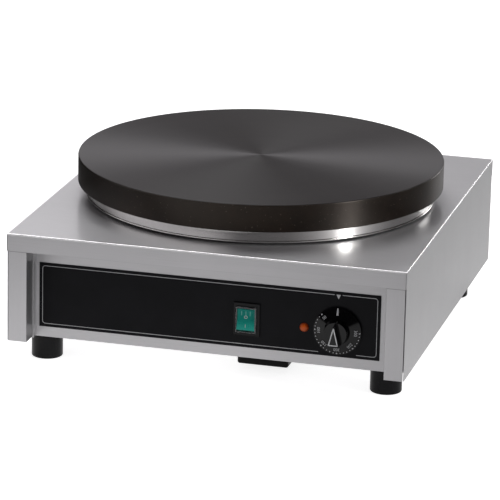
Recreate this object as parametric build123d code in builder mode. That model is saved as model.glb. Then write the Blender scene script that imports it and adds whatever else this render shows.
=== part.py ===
"""Countertop electric crepe maker: a round cast-iron griddle carried on a folded stainless casing.

Millimetres. +Z is up, the controls face -Y, and the origin is on the floor under the casing's centre.
"""

import os
from math import cos, radians, sin, sqrt

from build123d import *

os.makedirs("parts", exist_ok=True)

# ---------------------------------------------------------------- driving sizes
# Clearances shared by many pieces
gap = 0.3  # between pieces that stay apart
hole_gap = 0.2  # radial room of a screw or stud in a plain hole
thread_gap = 0.05  # radial room of a thread in its tapped hole or nut
shaft_gap = 0.05  # radial running fit of a turning shaft
touch_gap = 0.1  # where a round bar lies along a flat face

# Folded casing. Rises are heights above its bottom edge.
sheet = 1.2
casing_width = 430.0
casing_depth = 462.0
casing_height = 118.55
top_bend = 1.0
lip_height = 19.0
lip_set_back = 1.5
post_width = 20.0
recess_depth = 31.0
tab_width = 14.0
side_flange = 20.0

# Feet, set in from the casing's sides, front and rear
foot_height = 27.25
foot_radius = 16.9
foot_side_inset = 28.8
foot_front_inset = 51.0
foot_rear_inset = 61.0
foot_head_radius = 6.0
foot_pocket_depth = 14.0
foot_edge_round = 1.5

# M6 fasteners of the feet and the bonding stud
m6_radius = 3.0
m6_flats = 10.0
m6_head_height = 4.0
m6_nut_height = 5.0

# Panels and base plate
flange_depth = 20.0
flange_foot_gap = 5.3
base_inset = 4.0
base_screw_radius = 2.0
base_head_radius = 4.0
base_head_height = 2.0
base_screw_length = 6.0
base_screw_inset = 14.0
base_side_screw_y = 120.0
vent_length = 60.0
vent_width = 4.0
vent_pitch = 12.0
vent_rows = 7
vent_columns = 2
vent_spacing = 130.0
louvre_inset = 129.7
louvre_rise = 57.55
louvre_rows = 5
louvre_spacing = 80.0

# Control overlay, by its margins on the panel
label_left = 5.45
label_right = 12.45
label_rise = 9.25
label_drop = 38.1
label_thickness = 0.4

# Rocker switch
switch_lamp_spacing = 62.0
switch_rise = 40.55
bezel_side = 3.4
bezel_end = 3.2
bezel_thickness = 2.2
bezel_chamfer = 0.5
housing_depth = 22.9
housing_end_wall = 2.1
rocker_width = 18.8
rocker_radius = 12.4
rocker_front = 6.0
rocker_valley = 4.2
rocker_back = 3.0
rocker_tilt = 8.0
rocker_cavity_depth = 14.0
frame_wall = 1.2
frame_height = 3.2
pin_radius = 1.5
pin_seat = 0.6
spade_width = 6.3
spade_thickness = 0.8
spade_length = 8.0
spade_x = 5.0
spade_z = 7.0

# Pilot lamp
lamp_knob_spacing = 36.2
lamp_rise = 38.05
lamp_stem_radius = 4.4
lamp_stem_length = 9.0
lamp_body_length = 18.0
lens_lip = 0.6
lens_height = 3.6
lens_rim = 1.4
clip_radius = 8.0
clip_thickness = 1.5
lamp_lead_spread = 2.5

# Thermostat and knob
knob_inset = 45.05
knob_rise = 38.05
thermostat_width = 44.0
thermostat_height = 36.0
thermostat_depth = 32.0
thermostat_round = 1.4
thermostat_screw_x = 14.0
thermostat_screw_radius = 2.0
thermostat_head_radius = 3.5
thermostat_head_height = 1.4
thermostat_screw_length = 6.0
shaft_radius = 3.0
shaft_flat = 1.6
shaft_out = 17.0
shaft_in = 8.0
shaft_hole_gap = 2.0
skirt_radius = 25.5
skirt_back_gap = 0.6
skirt_edge = 1.4
skirt_rise = 2.3
hub_radius = 14.0
hub_top_radius = 12.2
hub_height = 8.0
grip_wall = 5.0
grip_apex = 9.8
grip_apex_half = 0.5
grip_base = 10.9
grip_half = 5.85
grip_spread = 1.35
strip_width = 3.6
strip_length = 9.0
strip_thickness = 0.45

# Griddle plate
plate_radius = 200.0
plate_lift = 16.0
plate_rim_height = 29.6
plate_slab = 14.0
plate_wall = 8.0
plate_top_round = 1.5
plate_bottom_round = 1.0

# Collar, tray and insulation under the plate
collar_room = 2.2
collar_gap = 1.5
collar_sheet = 1.0
collar_bead = 1.2
collar_top_room = 5.6
collar_flange = 13.0
tray_sheet = 0.8
tray_room = 0.6
tray_wall_height = 12.0
insulation_thickness = 11.5

# Studs that carry the plate
stud_inset = 35.0
stud_count = 4
stud_first_angle = 45.0
stud_radius = 4.0
stud_depth = 12.0
stud_boss_radius = 8.0
stud_boss_height = 8.0
sleeve_wall = 2.7
washer_radius = 9.0
washer_thickness = 1.6
stud_nut_flats = 13.0
stud_nut_height = 6.5
stud_tail = 4.0

# Heating element
element_radius = 4.1
element_inner_radius = 85.0
element_stud_room = 20.0
element_end_angle = 190.0
element_turn_angle = 160.0
element_bend = 12.0
element_tail = 34.6
element_pin_radius = 1.6
element_pin_length = 8.0
element_room = 2.4
lead_opening_radius = 12.0

# Element clamps and the bulb's clip
clamp_count = 3
clamp_width = 18.0
clamp_overhang = 8.0
clamp_thickness = 3.0
clamp_boss_radius = 7.0
bolt_radius = 3.0
bolt_head_flats = 10.0
bolt_head_height = 4.0
bolt_depth = 8.0
bolt_end_room = 2.0
clip_boss_y = 14.0
clip_boss_radius = 6.0
clip_width = 12.0
clip_bar_thickness = 2.0

# Thermostat bulb and its thin tube
bulb_radius = 3.2
bulb_length = 90.0
tube_radius = 1.0
tube_straight = 18.0
tube_run_rise = 51.55
tube_run_depth = 77.0
tube_bend = 10.0
tube_hole_radius = 4.0

# Terminal block and its cover under the base
cover_switch_offset = 10.0
cover_panel_depth = 57.3
cover_side_room = 5.9
cover_end_room = 14.5
cover_drop = 19.35
cover_wall = 2.0
cover_round = 3.0
cover_bottom_round = 2.6
block_width = 40.0
block_depth = 22.0
block_height = 22.7
pole_count = 3
pole_pitch = 13.0
pole_set = 5.5
pole_screw_radius = 2.5
pole_screw_length = 3.0
pole_screw_sink = 6.0
cover_screw_side = 11.9
cover_screw_end = 7.5
cover_screw_radius = 1.7
cover_head_radius = 3.0
cover_head_height = 2.0
cover_post_wall = 1.8

# Leads, in lanes at their own depths behind the panel and rises above the casing's bottom
lead_radius = 1.4
lead_bend = 6.0
far_lead_rise = 61.55
near_lead_rise = 71.55
far_lead_depth = 47.3
near_lead_depth = 62.3
link_depth = 51.3
lamp_lead_depth = 43.3
earth_drop_depth = 15.0

# Cable gland and bonding stud on the rear panel
gland_inset = 54.7
gland_rise = 31.55
gland_bore = 4.6
gland_thread_radius = 8.0
gland_thread_length = 13.0
gland_flats = 22.0
gland_hex_length = 6.0
gland_dome_radius = 9.5
gland_dome_length = 12.0
gland_nose_radius = 7.0
gland_nose_length = 5.0
locknut_thickness = 5.0
bond_gland_spacing = 79.0
bond_rise = 26.55
bond_free_length = 10.0
bond_undercut = 1.0
bond_undercut_radius = 2.4
bond_washer_radius = 6.0
bond_washer_thickness = 1.0

# ---------------------------------------------------------------- levels and planes
base_z = foot_height
casing_z = base_z + sheet
top_z = casing_z + casing_height
panel_bottom_z = base_z - sheet
side_x = casing_width / 2
post_x = side_x - post_width
side_flange_x = side_x - side_flange / 2
panel_half = post_x - gap
lip_y = casing_depth / 2
post_y = lip_y - lip_set_back
panel_y = post_y - recess_depth
panel_inner_y = panel_y - sheet
label_y = panel_y + label_thickness
base_half_y = panel_inner_y - gap
foot_x = side_x - foot_side_inset

tray_z = top_z + collar_gap + collar_sheet
rim_z = top_z + plate_lift
plate_top_z = rim_z + plate_rim_height
slab_z = plate_top_z - plate_slab
stud_boss_z = slab_z - stud_boss_height
element_z = slab_z - element_radius - touch_gap
clamp_boss_z = element_z - element_radius
bulb_z = slab_z - bulb_radius - touch_gap
clip_boss_z = bulb_z - bulb_radius
collar_radius = plate_radius - plate_wall - collar_room
collar_inner = collar_radius - collar_sheet
tray_radius = collar_inner - tray_room
insulation_radius = tray_radius - tray_sheet - gap

knob_x = panel_half - label_right - knob_inset
lamp_x = knob_x - lamp_knob_spacing
switch_x = lamp_x - switch_lamp_spacing
cover_x = switch_x + cover_switch_offset
gland_x = panel_half - gland_inset
bond_x = gland_x - bond_gland_spacing

knob_z = casing_z + knob_rise
lamp_z = casing_z + lamp_rise
switch_z = casing_z + switch_rise
gland_z = casing_z + gland_rise
bond_z = casing_z + bond_rise
cover_y = -(panel_inner_y - cover_panel_depth)
tube_x = bulb_length / 2 + tube_straight

stud_circle = plate_radius - stud_inset
element_outer_radius = stud_circle - element_stud_room
stud_places = PolarLocations(stud_circle, stud_count, start_angle=stud_first_angle)
clamp_circle = (element_inner_radius + element_outer_radius) / 2
clamp_places = PolarLocations(clamp_circle, clamp_count)
clip_places = Locations((0, -clip_boss_y), (0, clip_boss_y))


def front_plane(x, z, out=0.0):
    """A plane on the overlay's face, facing the user: its local x is +X and its local y is +Z."""
    return Plane(origin=(x, -(label_y + out), z), x_dir=(1, 0, 0), z_dir=(0, -1, 0))


def finish(piece, name):
    """Labels a finished piece and writes it."""
    piece.part.label = name
    export_step(piece.part, f"parts/{name}.step")


def lead(points, radius, bend):
    """A round wire along straight runs that meet square, with a tangent arc at each corner."""
    corners = [Vector(*point) for point in points]
    bend_share = 1 - sqrt(0.5)
    with BuildPart() as wire:
        with BuildLine() as route:
            run_start = corners[0]
            for before, corner, after in zip(corners, corners[1:], corners[2:]):
                back = (before - corner).normalized() * bend
                ahead = (after - corner).normalized() * bend
                Line(run_start, corner + back)
                ThreePointArc(corner + back, corner + (back + ahead) * bend_share, corner + ahead)
                run_start = corner + ahead
            Line(run_start, corners[-1])
        with BuildSketch(Plane(origin=corners[0], z_dir=corners[1] - corners[0])):
            Circle(radius)
        sweep(path=route.line)
    return wire.part


# ---------------------------------------------------------------- element end places
# The element is one tube: up from its outer end, round the outer circle, through a hairpin and back
# round the inner circle to its inner end. Both ends drop through the tray and the casing top.
def polar(radius, angle, z):
    return Vector(radius * cos(radians(angle)), radius * sin(radians(angle)), z)


end_tangent = Vector(-sin(radians(element_end_angle)), cos(radians(element_end_angle)), 0)
outer_start = polar(element_outer_radius, element_end_angle, element_z)
inner_end = polar(element_inner_radius, element_end_angle, element_z)
outer_corner = outer_start - end_tangent * element_bend
inner_corner = inner_end - end_tangent * element_bend
element_bottom_z = top_z - element_tail
end_places = [(outer_corner.X, outer_corner.Y), (inner_corner.X, inner_corner.Y)]
pin_z = element_bottom_z - element_pin_length

# ---------------------------------------------------------------- top casing
side_screws = GridLocations(2 * side_flange_x, 2 * base_side_screw_y, 2, 2)
with BuildPart() as top_casing:
    with BuildSketch(Plane.XY.offset(top_z - sheet)):
        Rectangle(casing_width, casing_depth)
    extrude(amount=sheet)
    # Lips folded down at the front and the rear
    with BuildSketch(Plane.XY.offset(top_z - lip_height)):
        with Locations((0, -lip_y + sheet / 2), (0, lip_y - sheet / 2)):
            Rectangle(casing_width, sheet)
    extrude(amount=lip_height)
    # Each side wall turns in to a corner post, back to the panel and in to a tab, at both ends
    with BuildSketch(Plane.XY.offset(casing_z)):
        with BuildLine():
            Polyline(
                (post_x - tab_width, -panel_inner_y),
                (post_x, -panel_inner_y),
                (post_x, -post_y),
                (side_x, -post_y),
                (side_x, post_y),
                (post_x, post_y),
                (post_x, panel_inner_y),
                (post_x - tab_width, panel_inner_y),
                (post_x - tab_width, panel_inner_y - sheet),
                (post_x + sheet, panel_inner_y - sheet),
                (post_x + sheet, post_y - sheet),
                (side_x - sheet, post_y - sheet),
                (side_x - sheet, -post_y + sheet),
                (post_x + sheet, -post_y + sheet),
                (post_x + sheet, -panel_inner_y + sheet),
                (post_x - tab_width, -panel_inner_y + sheet),
                close=True,
            )
        make_face()
        mirror(about=Plane.YZ)
    extrude(amount=casing_height)
    # Flanges folded in along the bottom of the side walls
    with BuildSketch(Plane.XY.offset(casing_z)):
        with Locations((-side_flange_x, 0), (side_flange_x, 0)):
            Rectangle(side_flange, 2 * (panel_inner_y - 2 * sheet))
    extrude(amount=sheet)
    # Holes for the studs, the element's ends and the thermostat's tube
    with BuildSketch(Plane.XY.offset(top_z - sheet)):
        with stud_places:
            Circle(stud_radius + hole_gap)
        with Locations(*end_places, (tube_x, 0)):
            Circle(lead_opening_radius)
    extrude(amount=sheet, mode=Mode.SUBTRACT)
    # Tapped holes for the base plate's side screws
    with BuildSketch(Plane.XY.offset(casing_z)):
        with side_screws:
            Circle(base_screw_radius + thread_gap)
    extrude(amount=sheet, mode=Mode.SUBTRACT)
    top_edges = top_casing.faces().sort_by(Axis.Z)[-1].outer_wire().edges()
    fillet(top_edges, radius=top_bend)
finish(top_casing, "top_casing")

# ---------------------------------------------------------------- front panel
panel_top_z = top_z - sheet - gap
panel_centre_z = (panel_bottom_z + panel_top_z) / 2
flange_y = panel_inner_y - flange_depth / 2
flange_half = foot_x - foot_radius - flange_foot_gap
base_screw_x = flange_half - base_screw_inset
flange_screws = [(x, -flange_y) for x in (-base_screw_x, 0, base_screw_x)]
window_half = rocker_radius + gap
window_width = rocker_width + 2 * gap
housing_width = window_width + 2 * frame_wall
housing_height = 2 * (window_half + housing_end_wall)


def control_cuts():
    """The overlay's and the panel's openings for the switch, the lamp and the thermostat."""
    with Locations((switch_x, switch_z)):
        Rectangle(housing_width + hole_gap, housing_height + hole_gap, mode=Mode.SUBTRACT)
    with Locations((lamp_x, lamp_z)):
        Circle(lamp_stem_radius + hole_gap, mode=Mode.SUBTRACT)
    with Locations((knob_x, knob_z)):
        Circle(shaft_radius + shaft_hole_gap, mode=Mode.SUBTRACT)


thermostat_screws_at = [(knob_x - thermostat_screw_x, knob_z), (knob_x + thermostat_screw_x, knob_z)]

with BuildPart() as front_panel:
    with BuildSketch(Plane.XZ.offset(panel_inner_y)):
        with Locations((0, panel_centre_z)):
            Rectangle(2 * panel_half, panel_top_z - panel_bottom_z)
        control_cuts()
        with Locations(*thermostat_screws_at):
            Circle(thermostat_screw_radius + hole_gap, mode=Mode.SUBTRACT)
    extrude(amount=sheet)
    with BuildSketch(Plane.XY.offset(panel_bottom_z)):
        with Locations((0, -flange_y)):
            Rectangle(2 * flange_half, flange_depth)
        with Locations(*flange_screws):
            Circle(base_screw_radius + hole_gap, mode=Mode.SUBTRACT)
    extrude(amount=sheet)
    front_edge = front_panel.edges().filter_by(Axis.X).group_by(Axis.Z)[0].group_by(Axis.Y)[0]
    fillet(front_edge, radius=top_bend)
finish(front_panel, "front_panel")

# ---------------------------------------------------------------- rear panel
rear_screws = [(x, -y) for x, y in flange_screws]
with BuildPart() as rear_panel:
    with BuildSketch(Plane.XZ.offset(-panel_y)):
        with Locations((0, panel_centre_z)):
            Rectangle(2 * panel_half, panel_top_z - panel_bottom_z)
        with Locations((gland_x, gland_z)):
            Circle(gland_thread_radius + hole_gap, mode=Mode.SUBTRACT)
        with Locations((bond_x, bond_z)):
            Circle(m6_radius + hole_gap, mode=Mode.SUBTRACT)
        with Locations((louvre_inset - panel_half, casing_z + louvre_rise)):
            with GridLocations(louvre_spacing, vent_pitch, vent_columns, louvre_rows):
                SlotOverall(vent_length, vent_width, mode=Mode.SUBTRACT)
    extrude(amount=sheet)
    with BuildSketch(Plane.XY.offset(panel_bottom_z)):
        with Locations((0, flange_y)):
            Rectangle(2 * flange_half, flange_depth)
        with Locations(*rear_screws):
            Circle(base_screw_radius + hole_gap, mode=Mode.SUBTRACT)
    extrude(amount=sheet)
finish(rear_panel, "rear_panel")

# ---------------------------------------------------------------- base plate and its screws
foot_front_y = foot_front_inset - lip_y
foot_rear_y = lip_y - foot_rear_inset
foot_places = {
    "foot_front_left": (-foot_x, foot_front_y),
    "foot_front_right": (foot_x, foot_front_y),
    "foot_rear_left": (-foot_x, foot_rear_y),
    "foot_rear_right": (foot_x, foot_rear_y),
}
cover_width = block_width + 2 * (cover_side_room + cover_wall)
cover_depth = block_depth + 2 * (cover_end_room + cover_wall)
cover_screw_x = cover_width / 2 - cover_screw_side
cover_screw_y = cover_depth / 2 - cover_screw_end
cover_screw_places = [
    (cover_x - cover_screw_x, cover_y - cover_screw_y),
    (cover_x + cover_screw_x, cover_y + cover_screw_y),
]
with BuildPart() as base_plate:
    with BuildSketch(Plane.XY.offset(base_z)):
        Rectangle(2 * (side_x - base_inset), 2 * base_half_y)
        with Locations((cover_x, cover_y)):
            Rectangle(block_width + 2 * gap, block_depth + 2 * gap, mode=Mode.SUBTRACT)
        with Locations(*flange_screws, *rear_screws, *side_screws):
            Circle(base_screw_radius + hole_gap, mode=Mode.SUBTRACT)
        with Locations(*foot_places.values()):
            Circle(m6_radius + hole_gap, mode=Mode.SUBTRACT)
        with Locations(*cover_screw_places):
            Circle(cover_screw_radius + hole_gap, mode=Mode.SUBTRACT)
        with GridLocations(vent_spacing, vent_pitch, vent_columns, vent_rows):
            SlotOverall(vent_length, vent_width, mode=Mode.SUBTRACT)
    extrude(amount=sheet)
finish(base_plate, "base_plate")

with BuildPart() as base_screws:
    for places, seat_z in ((Locations(*flange_screws, *rear_screws), panel_bottom_z), (side_screws, base_z)):
        with BuildSketch(Plane.XY.offset(seat_z - base_head_height)):
            with places:
                Circle(base_head_radius)
        extrude(amount=base_head_height)
        with BuildSketch(Plane.XY.offset(seat_z)):
            with places:
                Circle(base_screw_radius)
        extrude(amount=base_screw_length)
finish(base_screws, "base_screws")

# ---------------------------------------------------------------- feet
for name, place in foot_places.items():
    with BuildPart() as foot:
        with BuildSketch():
            with Locations(place):
                Circle(foot_radius)
        extrude(amount=foot_height)
        fillet(foot.edges().group_by(Axis.Z)[0], radius=foot_edge_round)
        with BuildSketch():
            with Locations(place):
                Circle(foot_head_radius + gap)
        extrude(amount=foot_pocket_depth, mode=Mode.SUBTRACT)
        with BuildSketch():
            with Locations(place):
                Circle(m6_radius + hole_gap)
        extrude(amount=foot_height, mode=Mode.SUBTRACT)
    finish(foot, name)

with BuildPart() as foot_screws:
    with BuildSketch(Plane.XY.offset(foot_pocket_depth - m6_head_height)):
        with Locations(*foot_places.values()):
            Circle(foot_head_radius)
    extrude(amount=m6_head_height)
    with BuildSketch(Plane.XY.offset(foot_pocket_depth)):
        with Locations(*foot_places.values()):
            Circle(m6_radius)
    extrude(amount=casing_z + m6_nut_height + sheet - foot_pocket_depth)
finish(foot_screws, "foot_screws")

with BuildPart() as foot_nuts:
    with BuildSketch(Plane.XY.offset(casing_z)):
        with Locations(*foot_places.values()):
            RegularPolygon(m6_flats / 2, 6, major_radius=False)
            Circle(m6_radius + thread_gap, mode=Mode.SUBTRACT)
    extrude(amount=m6_nut_height)
finish(foot_nuts, "foot_nuts")

# ---------------------------------------------------------------- control overlay
label_low_z = casing_z + label_rise
label_high_z = top_z - label_drop
with BuildPart() as fascia_label:
    with BuildSketch(Plane.XZ.offset(panel_y)):
        with Locations(((label_left - label_right) / 2, (label_low_z + label_high_z) / 2)):
            Rectangle(2 * panel_half - label_left - label_right, label_high_z - label_low_z)
        control_cuts()
        with Locations(*thermostat_screws_at):
            Circle(thermostat_head_radius + hole_gap, mode=Mode.SUBTRACT)
    extrude(amount=label_thickness)
finish(fascia_label, "fascia_label")

# ---------------------------------------------------------------- rocker switch
switch_axis_y = -label_y
pin_start = Plane.YZ.offset(switch_x - window_width / 2 - pin_seat)
pin_length = window_width + 2 * pin_seat

with BuildPart() as switch_housing:
    with BuildSketch(front_plane(switch_x, switch_z)):
        Rectangle(housing_width + 2 * bezel_side, housing_height + 2 * bezel_end)
    extrude(amount=bezel_thickness)
    chamfer(switch_housing.faces().sort_by(Axis.Y)[0].edges(), length=bezel_chamfer)
    with BuildSketch(front_plane(switch_x, switch_z, -housing_depth)):
        Rectangle(housing_width, housing_height)
    extrude(amount=housing_depth)
    with BuildSketch(front_plane(switch_x, switch_z, -rocker_cavity_depth)):
        Rectangle(window_width, 2 * window_half)
    extrude(amount=rocker_cavity_depth + bezel_thickness, mode=Mode.SUBTRACT)
    # Blind holes for the rocker's pin in the two side walls
    with BuildSketch(pin_start):
        with Locations((switch_axis_y, switch_z)):
            Circle(pin_radius + thread_gap)
    extrude(amount=pin_length, mode=Mode.SUBTRACT)
finish(switch_housing, "switch_housing")

with BuildPart() as switch_frame:
    with BuildSketch(front_plane(switch_x, switch_z, bezel_thickness)):
        Rectangle(housing_width, 2 * (window_half + frame_wall))
        Rectangle(window_width, 2 * window_half, mode=Mode.SUBTRACT)
    extrude(amount=frame_height)
finish(switch_frame, "switch_frame")

# The rocker's ends are arcs round its pin, so it turns inside its window. Its front is a shallow V.
# It rests with its upper end pressed in.
end_z = sqrt(rocker_radius**2 - rocker_front**2)
back_z = sqrt(rocker_radius**2 - rocker_back**2)
tilt = radians(rocker_tilt)
rocker_side = Plane(
    origin=(switch_x - rocker_width / 2, switch_axis_y, switch_z),
    x_dir=(0, cos(tilt), -sin(tilt)),
    z_dir=(1, 0, 0),
)
with BuildPart() as rocker:
    with BuildSketch(rocker_side):
        with BuildLine():
            Polyline((-rocker_front, -end_z), (-rocker_valley, 0), (-rocker_front, end_z))
            ThreePointArc((-rocker_front, end_z), (0, rocker_radius), (rocker_back, back_z))
            Line((rocker_back, back_z), (rocker_back, -back_z))
            ThreePointArc((rocker_back, -back_z), (0, -rocker_radius), (-rocker_front, -end_z))
        make_face()
        Circle(pin_radius + shaft_gap, mode=Mode.SUBTRACT)
    extrude(amount=rocker_width)
finish(rocker, "rocker")

with BuildPart() as rocker_pin:
    with BuildSketch(pin_start):
        with Locations((switch_axis_y, switch_z)):
            Circle(pin_radius)
    extrude(amount=pin_length)
finish(rocker_pin, "rocker_pin")

housing_back_y = -(label_y - housing_depth)
spade_end_y = housing_back_y + spade_length
with BuildPart() as switch_terminals:
    with BuildSketch(front_plane(switch_x, switch_z, -housing_depth - spade_length)):
        with GridLocations(2 * spade_x, 2 * spade_z, 2, 2):
            Rectangle(spade_width, spade_thickness)
    extrude(amount=spade_length)
finish(switch_terminals, "switch_terminals")

# ---------------------------------------------------------------- pilot lamp
with BuildPart() as lamp_lens:
    with BuildSketch(front_plane(lamp_x, lamp_z)):
        Circle(lamp_stem_radius + lens_lip)
    extrude(amount=lens_height)
    fillet(lamp_lens.edges().group_by(Axis.Y)[0], radius=lens_height - lens_rim)
    with BuildSketch(front_plane(lamp_x, lamp_z, -lamp_stem_length)):
        Circle(lamp_stem_radius)
    extrude(amount=lamp_stem_length)
finish(lamp_lens, "lamp_lens")

lamp_back_y = -(label_y - lamp_stem_length - lamp_body_length)
with BuildPart() as lamp_body:
    with BuildSketch(front_plane(lamp_x, lamp_z, -lamp_stem_length - lamp_body_length)):
        Circle(lamp_stem_radius)
    extrude(amount=lamp_body_length)
finish(lamp_body, "lamp_body")

with BuildPart() as lamp_clip:
    with BuildSketch(Plane.XZ.offset(panel_inner_y - clip_thickness)):
        with Locations((lamp_x, lamp_z)):
            Circle(clip_radius)
            Circle(lamp_stem_radius + thread_gap, mode=Mode.SUBTRACT)
    extrude(amount=clip_thickness)
finish(lamp_clip, "lamp_clip")

# ---------------------------------------------------------------- thermostat
body_y = -(panel_inner_y - thermostat_depth)
with BuildPart() as thermostat_body:
    with BuildSketch(Plane.XZ.offset(panel_inner_y - thermostat_depth)):
        with Locations((knob_x, knob_z)):
            Rectangle(thermostat_width, thermostat_height)
    extrude(amount=thermostat_depth)
    fillet(thermostat_body.edges().filter_by(Axis.Y), radius=thermostat_round)
    with BuildSketch(Plane.XZ.offset(panel_inner_y - shaft_in)):
        with Locations((knob_x, knob_z)):
            Circle(shaft_radius + shaft_gap)
    extrude(amount=shaft_in, mode=Mode.SUBTRACT)
    with BuildSketch(Plane.XZ.offset(panel_inner_y - thermostat_screw_length)):
        with Locations(*thermostat_screws_at):
            Circle(thermostat_screw_radius + thread_gap)
    extrude(amount=thermostat_screw_length, mode=Mode.SUBTRACT)
finish(thermostat_body, "thermostat_body")

with BuildPart() as thermostat_screws:
    with BuildSketch(Plane.XZ.offset(panel_y)):
        with Locations(*thermostat_screws_at):
            Circle(thermostat_head_radius)
    extrude(amount=thermostat_head_height)
    with BuildSketch(Plane.XZ.offset(panel_y - sheet - thermostat_screw_length + gap)):
        with Locations(*thermostat_screws_at):
            Circle(thermostat_screw_radius)
    extrude(amount=sheet + thermostat_screw_length - gap)
finish(thermostat_screws, "thermostat_screws")

# The shaft turns in the body. Beyond the panel it has a flat that faces up and keys the knob.
with BuildPart() as thermostat_shaft:
    with BuildSketch(Plane.XZ.offset(panel_inner_y - shaft_in + gap)):
        with Locations((knob_x, knob_z)):
            Circle(shaft_radius)
    extrude(amount=shaft_in - gap + sheet + label_thickness)
    with BuildSketch(front_plane(knob_x, knob_z)):
        Circle(shaft_radius)
        with Locations((0, shaft_flat + shaft_radius)):
            Rectangle(2 * shaft_radius, 2 * shaft_radius, mode=Mode.SUBTRACT)
    extrude(amount=shaft_out)
finish(thermostat_shaft, "thermostat_shaft")

# ---------------------------------------------------------------- knob
# Turned skirt and hub, with a wedge-shaped grip whose narrow end points at the set temperature
skirt_back = thermostat_head_height - label_thickness + skirt_back_gap
hub_start = skirt_back + skirt_edge + skirt_rise
grip_front = shaft_out + grip_wall
knob_section = Plane(origin=(knob_x, -label_y, knob_z), x_dir=(1, 0, 0), z_dir=(0, 0, -1))
with BuildPart() as knob:
    with BuildSketch(knob_section):
        with BuildLine():
            Polyline(
                (0, skirt_back),
                (skirt_radius, skirt_back),
                (skirt_radius, skirt_back + skirt_edge),
                (hub_radius, hub_start),
                (hub_top_radius, hub_start + hub_height),
                (0, hub_start + hub_height),
                close=True,
            )
        make_face()
    revolve(axis=Axis((knob_x, 0, knob_z), (0, -1, 0)))
    for out, spread in ((hub_start, grip_spread), (grip_front, 1.0)):
        with BuildSketch(front_plane(knob_x, knob_z, out)):
            Polygon(
                (-grip_half * spread, -grip_base),
                (grip_half * spread, -grip_base),
                (grip_apex_half, grip_apex * spread),
                (-grip_apex_half, grip_apex * spread),
                align=None,
            )
    loft()
    # D-shaped bore for the shaft and its spring strip
    with BuildSketch(front_plane(knob_x, knob_z, skirt_back)):
        Circle(shaft_radius + shaft_gap)
        with Locations((0, shaft_flat + strip_thickness + shaft_gap + 2 * shaft_radius)):
            Rectangle(4 * shaft_radius, 4 * shaft_radius, mode=Mode.SUBTRACT)
    extrude(amount=shaft_out - skirt_back + gap, mode=Mode.SUBTRACT)
finish(knob, "knob")

with BuildPart() as knob_clip:
    with BuildSketch(front_plane(knob_x, knob_z, shaft_out - strip_length)):
        with Locations((0, shaft_flat + strip_thickness / 2)):
            Rectangle(strip_width, strip_thickness)
    extrude(amount=strip_length)
finish(knob_clip, "knob_clip")

# ---------------------------------------------------------------- griddle plate
with BuildPart() as griddle_plate:
    with BuildSketch(Plane.XY.offset(rim_z)):
        Circle(plate_radius)
    extrude(amount=plate_rim_height)
    fillet(griddle_plate.edges().group_by(Axis.Z)[-1], radius=plate_top_round)
    fillet(griddle_plate.edges().group_by(Axis.Z)[0], radius=plate_bottom_round)
    with BuildSketch(Plane.XY.offset(rim_z)):
        Circle(plate_radius - plate_wall)
    extrude(amount=plate_rim_height - plate_slab, mode=Mode.SUBTRACT)
    # Bosses on the underside
    for boss_z, places, radius in (
        (stud_boss_z, stud_places, stud_boss_radius),
        (clamp_boss_z, clamp_places, clamp_boss_radius),
        (clip_boss_z, clip_places, clip_boss_radius),
    ):
        with BuildSketch(Plane.XY.offset(boss_z)):
            with places:
                Circle(radius)
        extrude(amount=slab_z - boss_z)
    # Tapped blind holes in the bosses
    with BuildSketch(Plane.XY.offset(stud_boss_z)):
        with stud_places:
            Circle(stud_radius + thread_gap)
    extrude(amount=stud_depth, mode=Mode.SUBTRACT)
    for boss_z, places in ((clamp_boss_z, clamp_places), (clip_boss_z, clip_places)):
        with BuildSketch(Plane.XY.offset(boss_z)):
            with places:
                Circle(bolt_radius + thread_gap)
        extrude(amount=bolt_depth + bolt_end_room, mode=Mode.SUBTRACT)
finish(griddle_plate, "griddle_plate")

# ---------------------------------------------------------------- collar, tray and insulation
collar_z = top_z + collar_gap
collar_top_z = slab_z - collar_top_room
collar_flange_radius = collar_radius - collar_flange
with BuildPart() as skirt_ring:
    with BuildSketch(Plane.XZ):
        with BuildLine():
            Polyline(
                (collar_radius, collar_z + 2 * collar_bead),
                (collar_radius, collar_top_z),
                (collar_inner, collar_top_z),
                (collar_inner, tray_z),
                (collar_flange_radius, tray_z),
                (collar_flange_radius, collar_z),
                (collar_radius, collar_z),
            )
            ThreePointArc(
                (collar_radius, collar_z),
                (collar_radius + collar_bead, collar_z + collar_bead),
                (collar_radius, collar_z + 2 * collar_bead),
            )
        make_face()
    revolve(axis=Axis.Z)
finish(skirt_ring, "skirt_ring")

with BuildPart() as heat_tray:
    with BuildSketch(Plane.XY.offset(tray_z)):
        Circle(tray_radius)
    extrude(amount=tray_wall_height)
    with BuildSketch(Plane.XY.offset(tray_z + tray_sheet)):
        Circle(tray_radius - tray_sheet)
    extrude(amount=tray_wall_height, mode=Mode.SUBTRACT)
    with BuildSketch(Plane.XY.offset(tray_z)):
        with stud_places:
            Circle(stud_radius + hole_gap)
        with Locations(*end_places):
            Circle(element_radius + element_room)
        with Locations((tube_x, 0)):
            Circle(tube_hole_radius)
    extrude(amount=tray_sheet, mode=Mode.SUBTRACT)
finish(heat_tray, "heat_tray")

with BuildPart() as insulation_disc:
    with BuildSketch(Plane.XY.offset(tray_z + tray_sheet)):
        Circle(insulation_radius)
        with stud_places:
            Circle(stud_radius + hole_gap + sleeve_wall + gap, mode=Mode.SUBTRACT)
        with Locations(*end_places):
            Circle(element_radius + element_room, mode=Mode.SUBTRACT)
        with Locations((tube_x, 0)):
            Circle(tube_hole_radius, mode=Mode.SUBTRACT)
    extrude(amount=insulation_thickness)
finish(insulation_disc, "insulation_disc")

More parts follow.
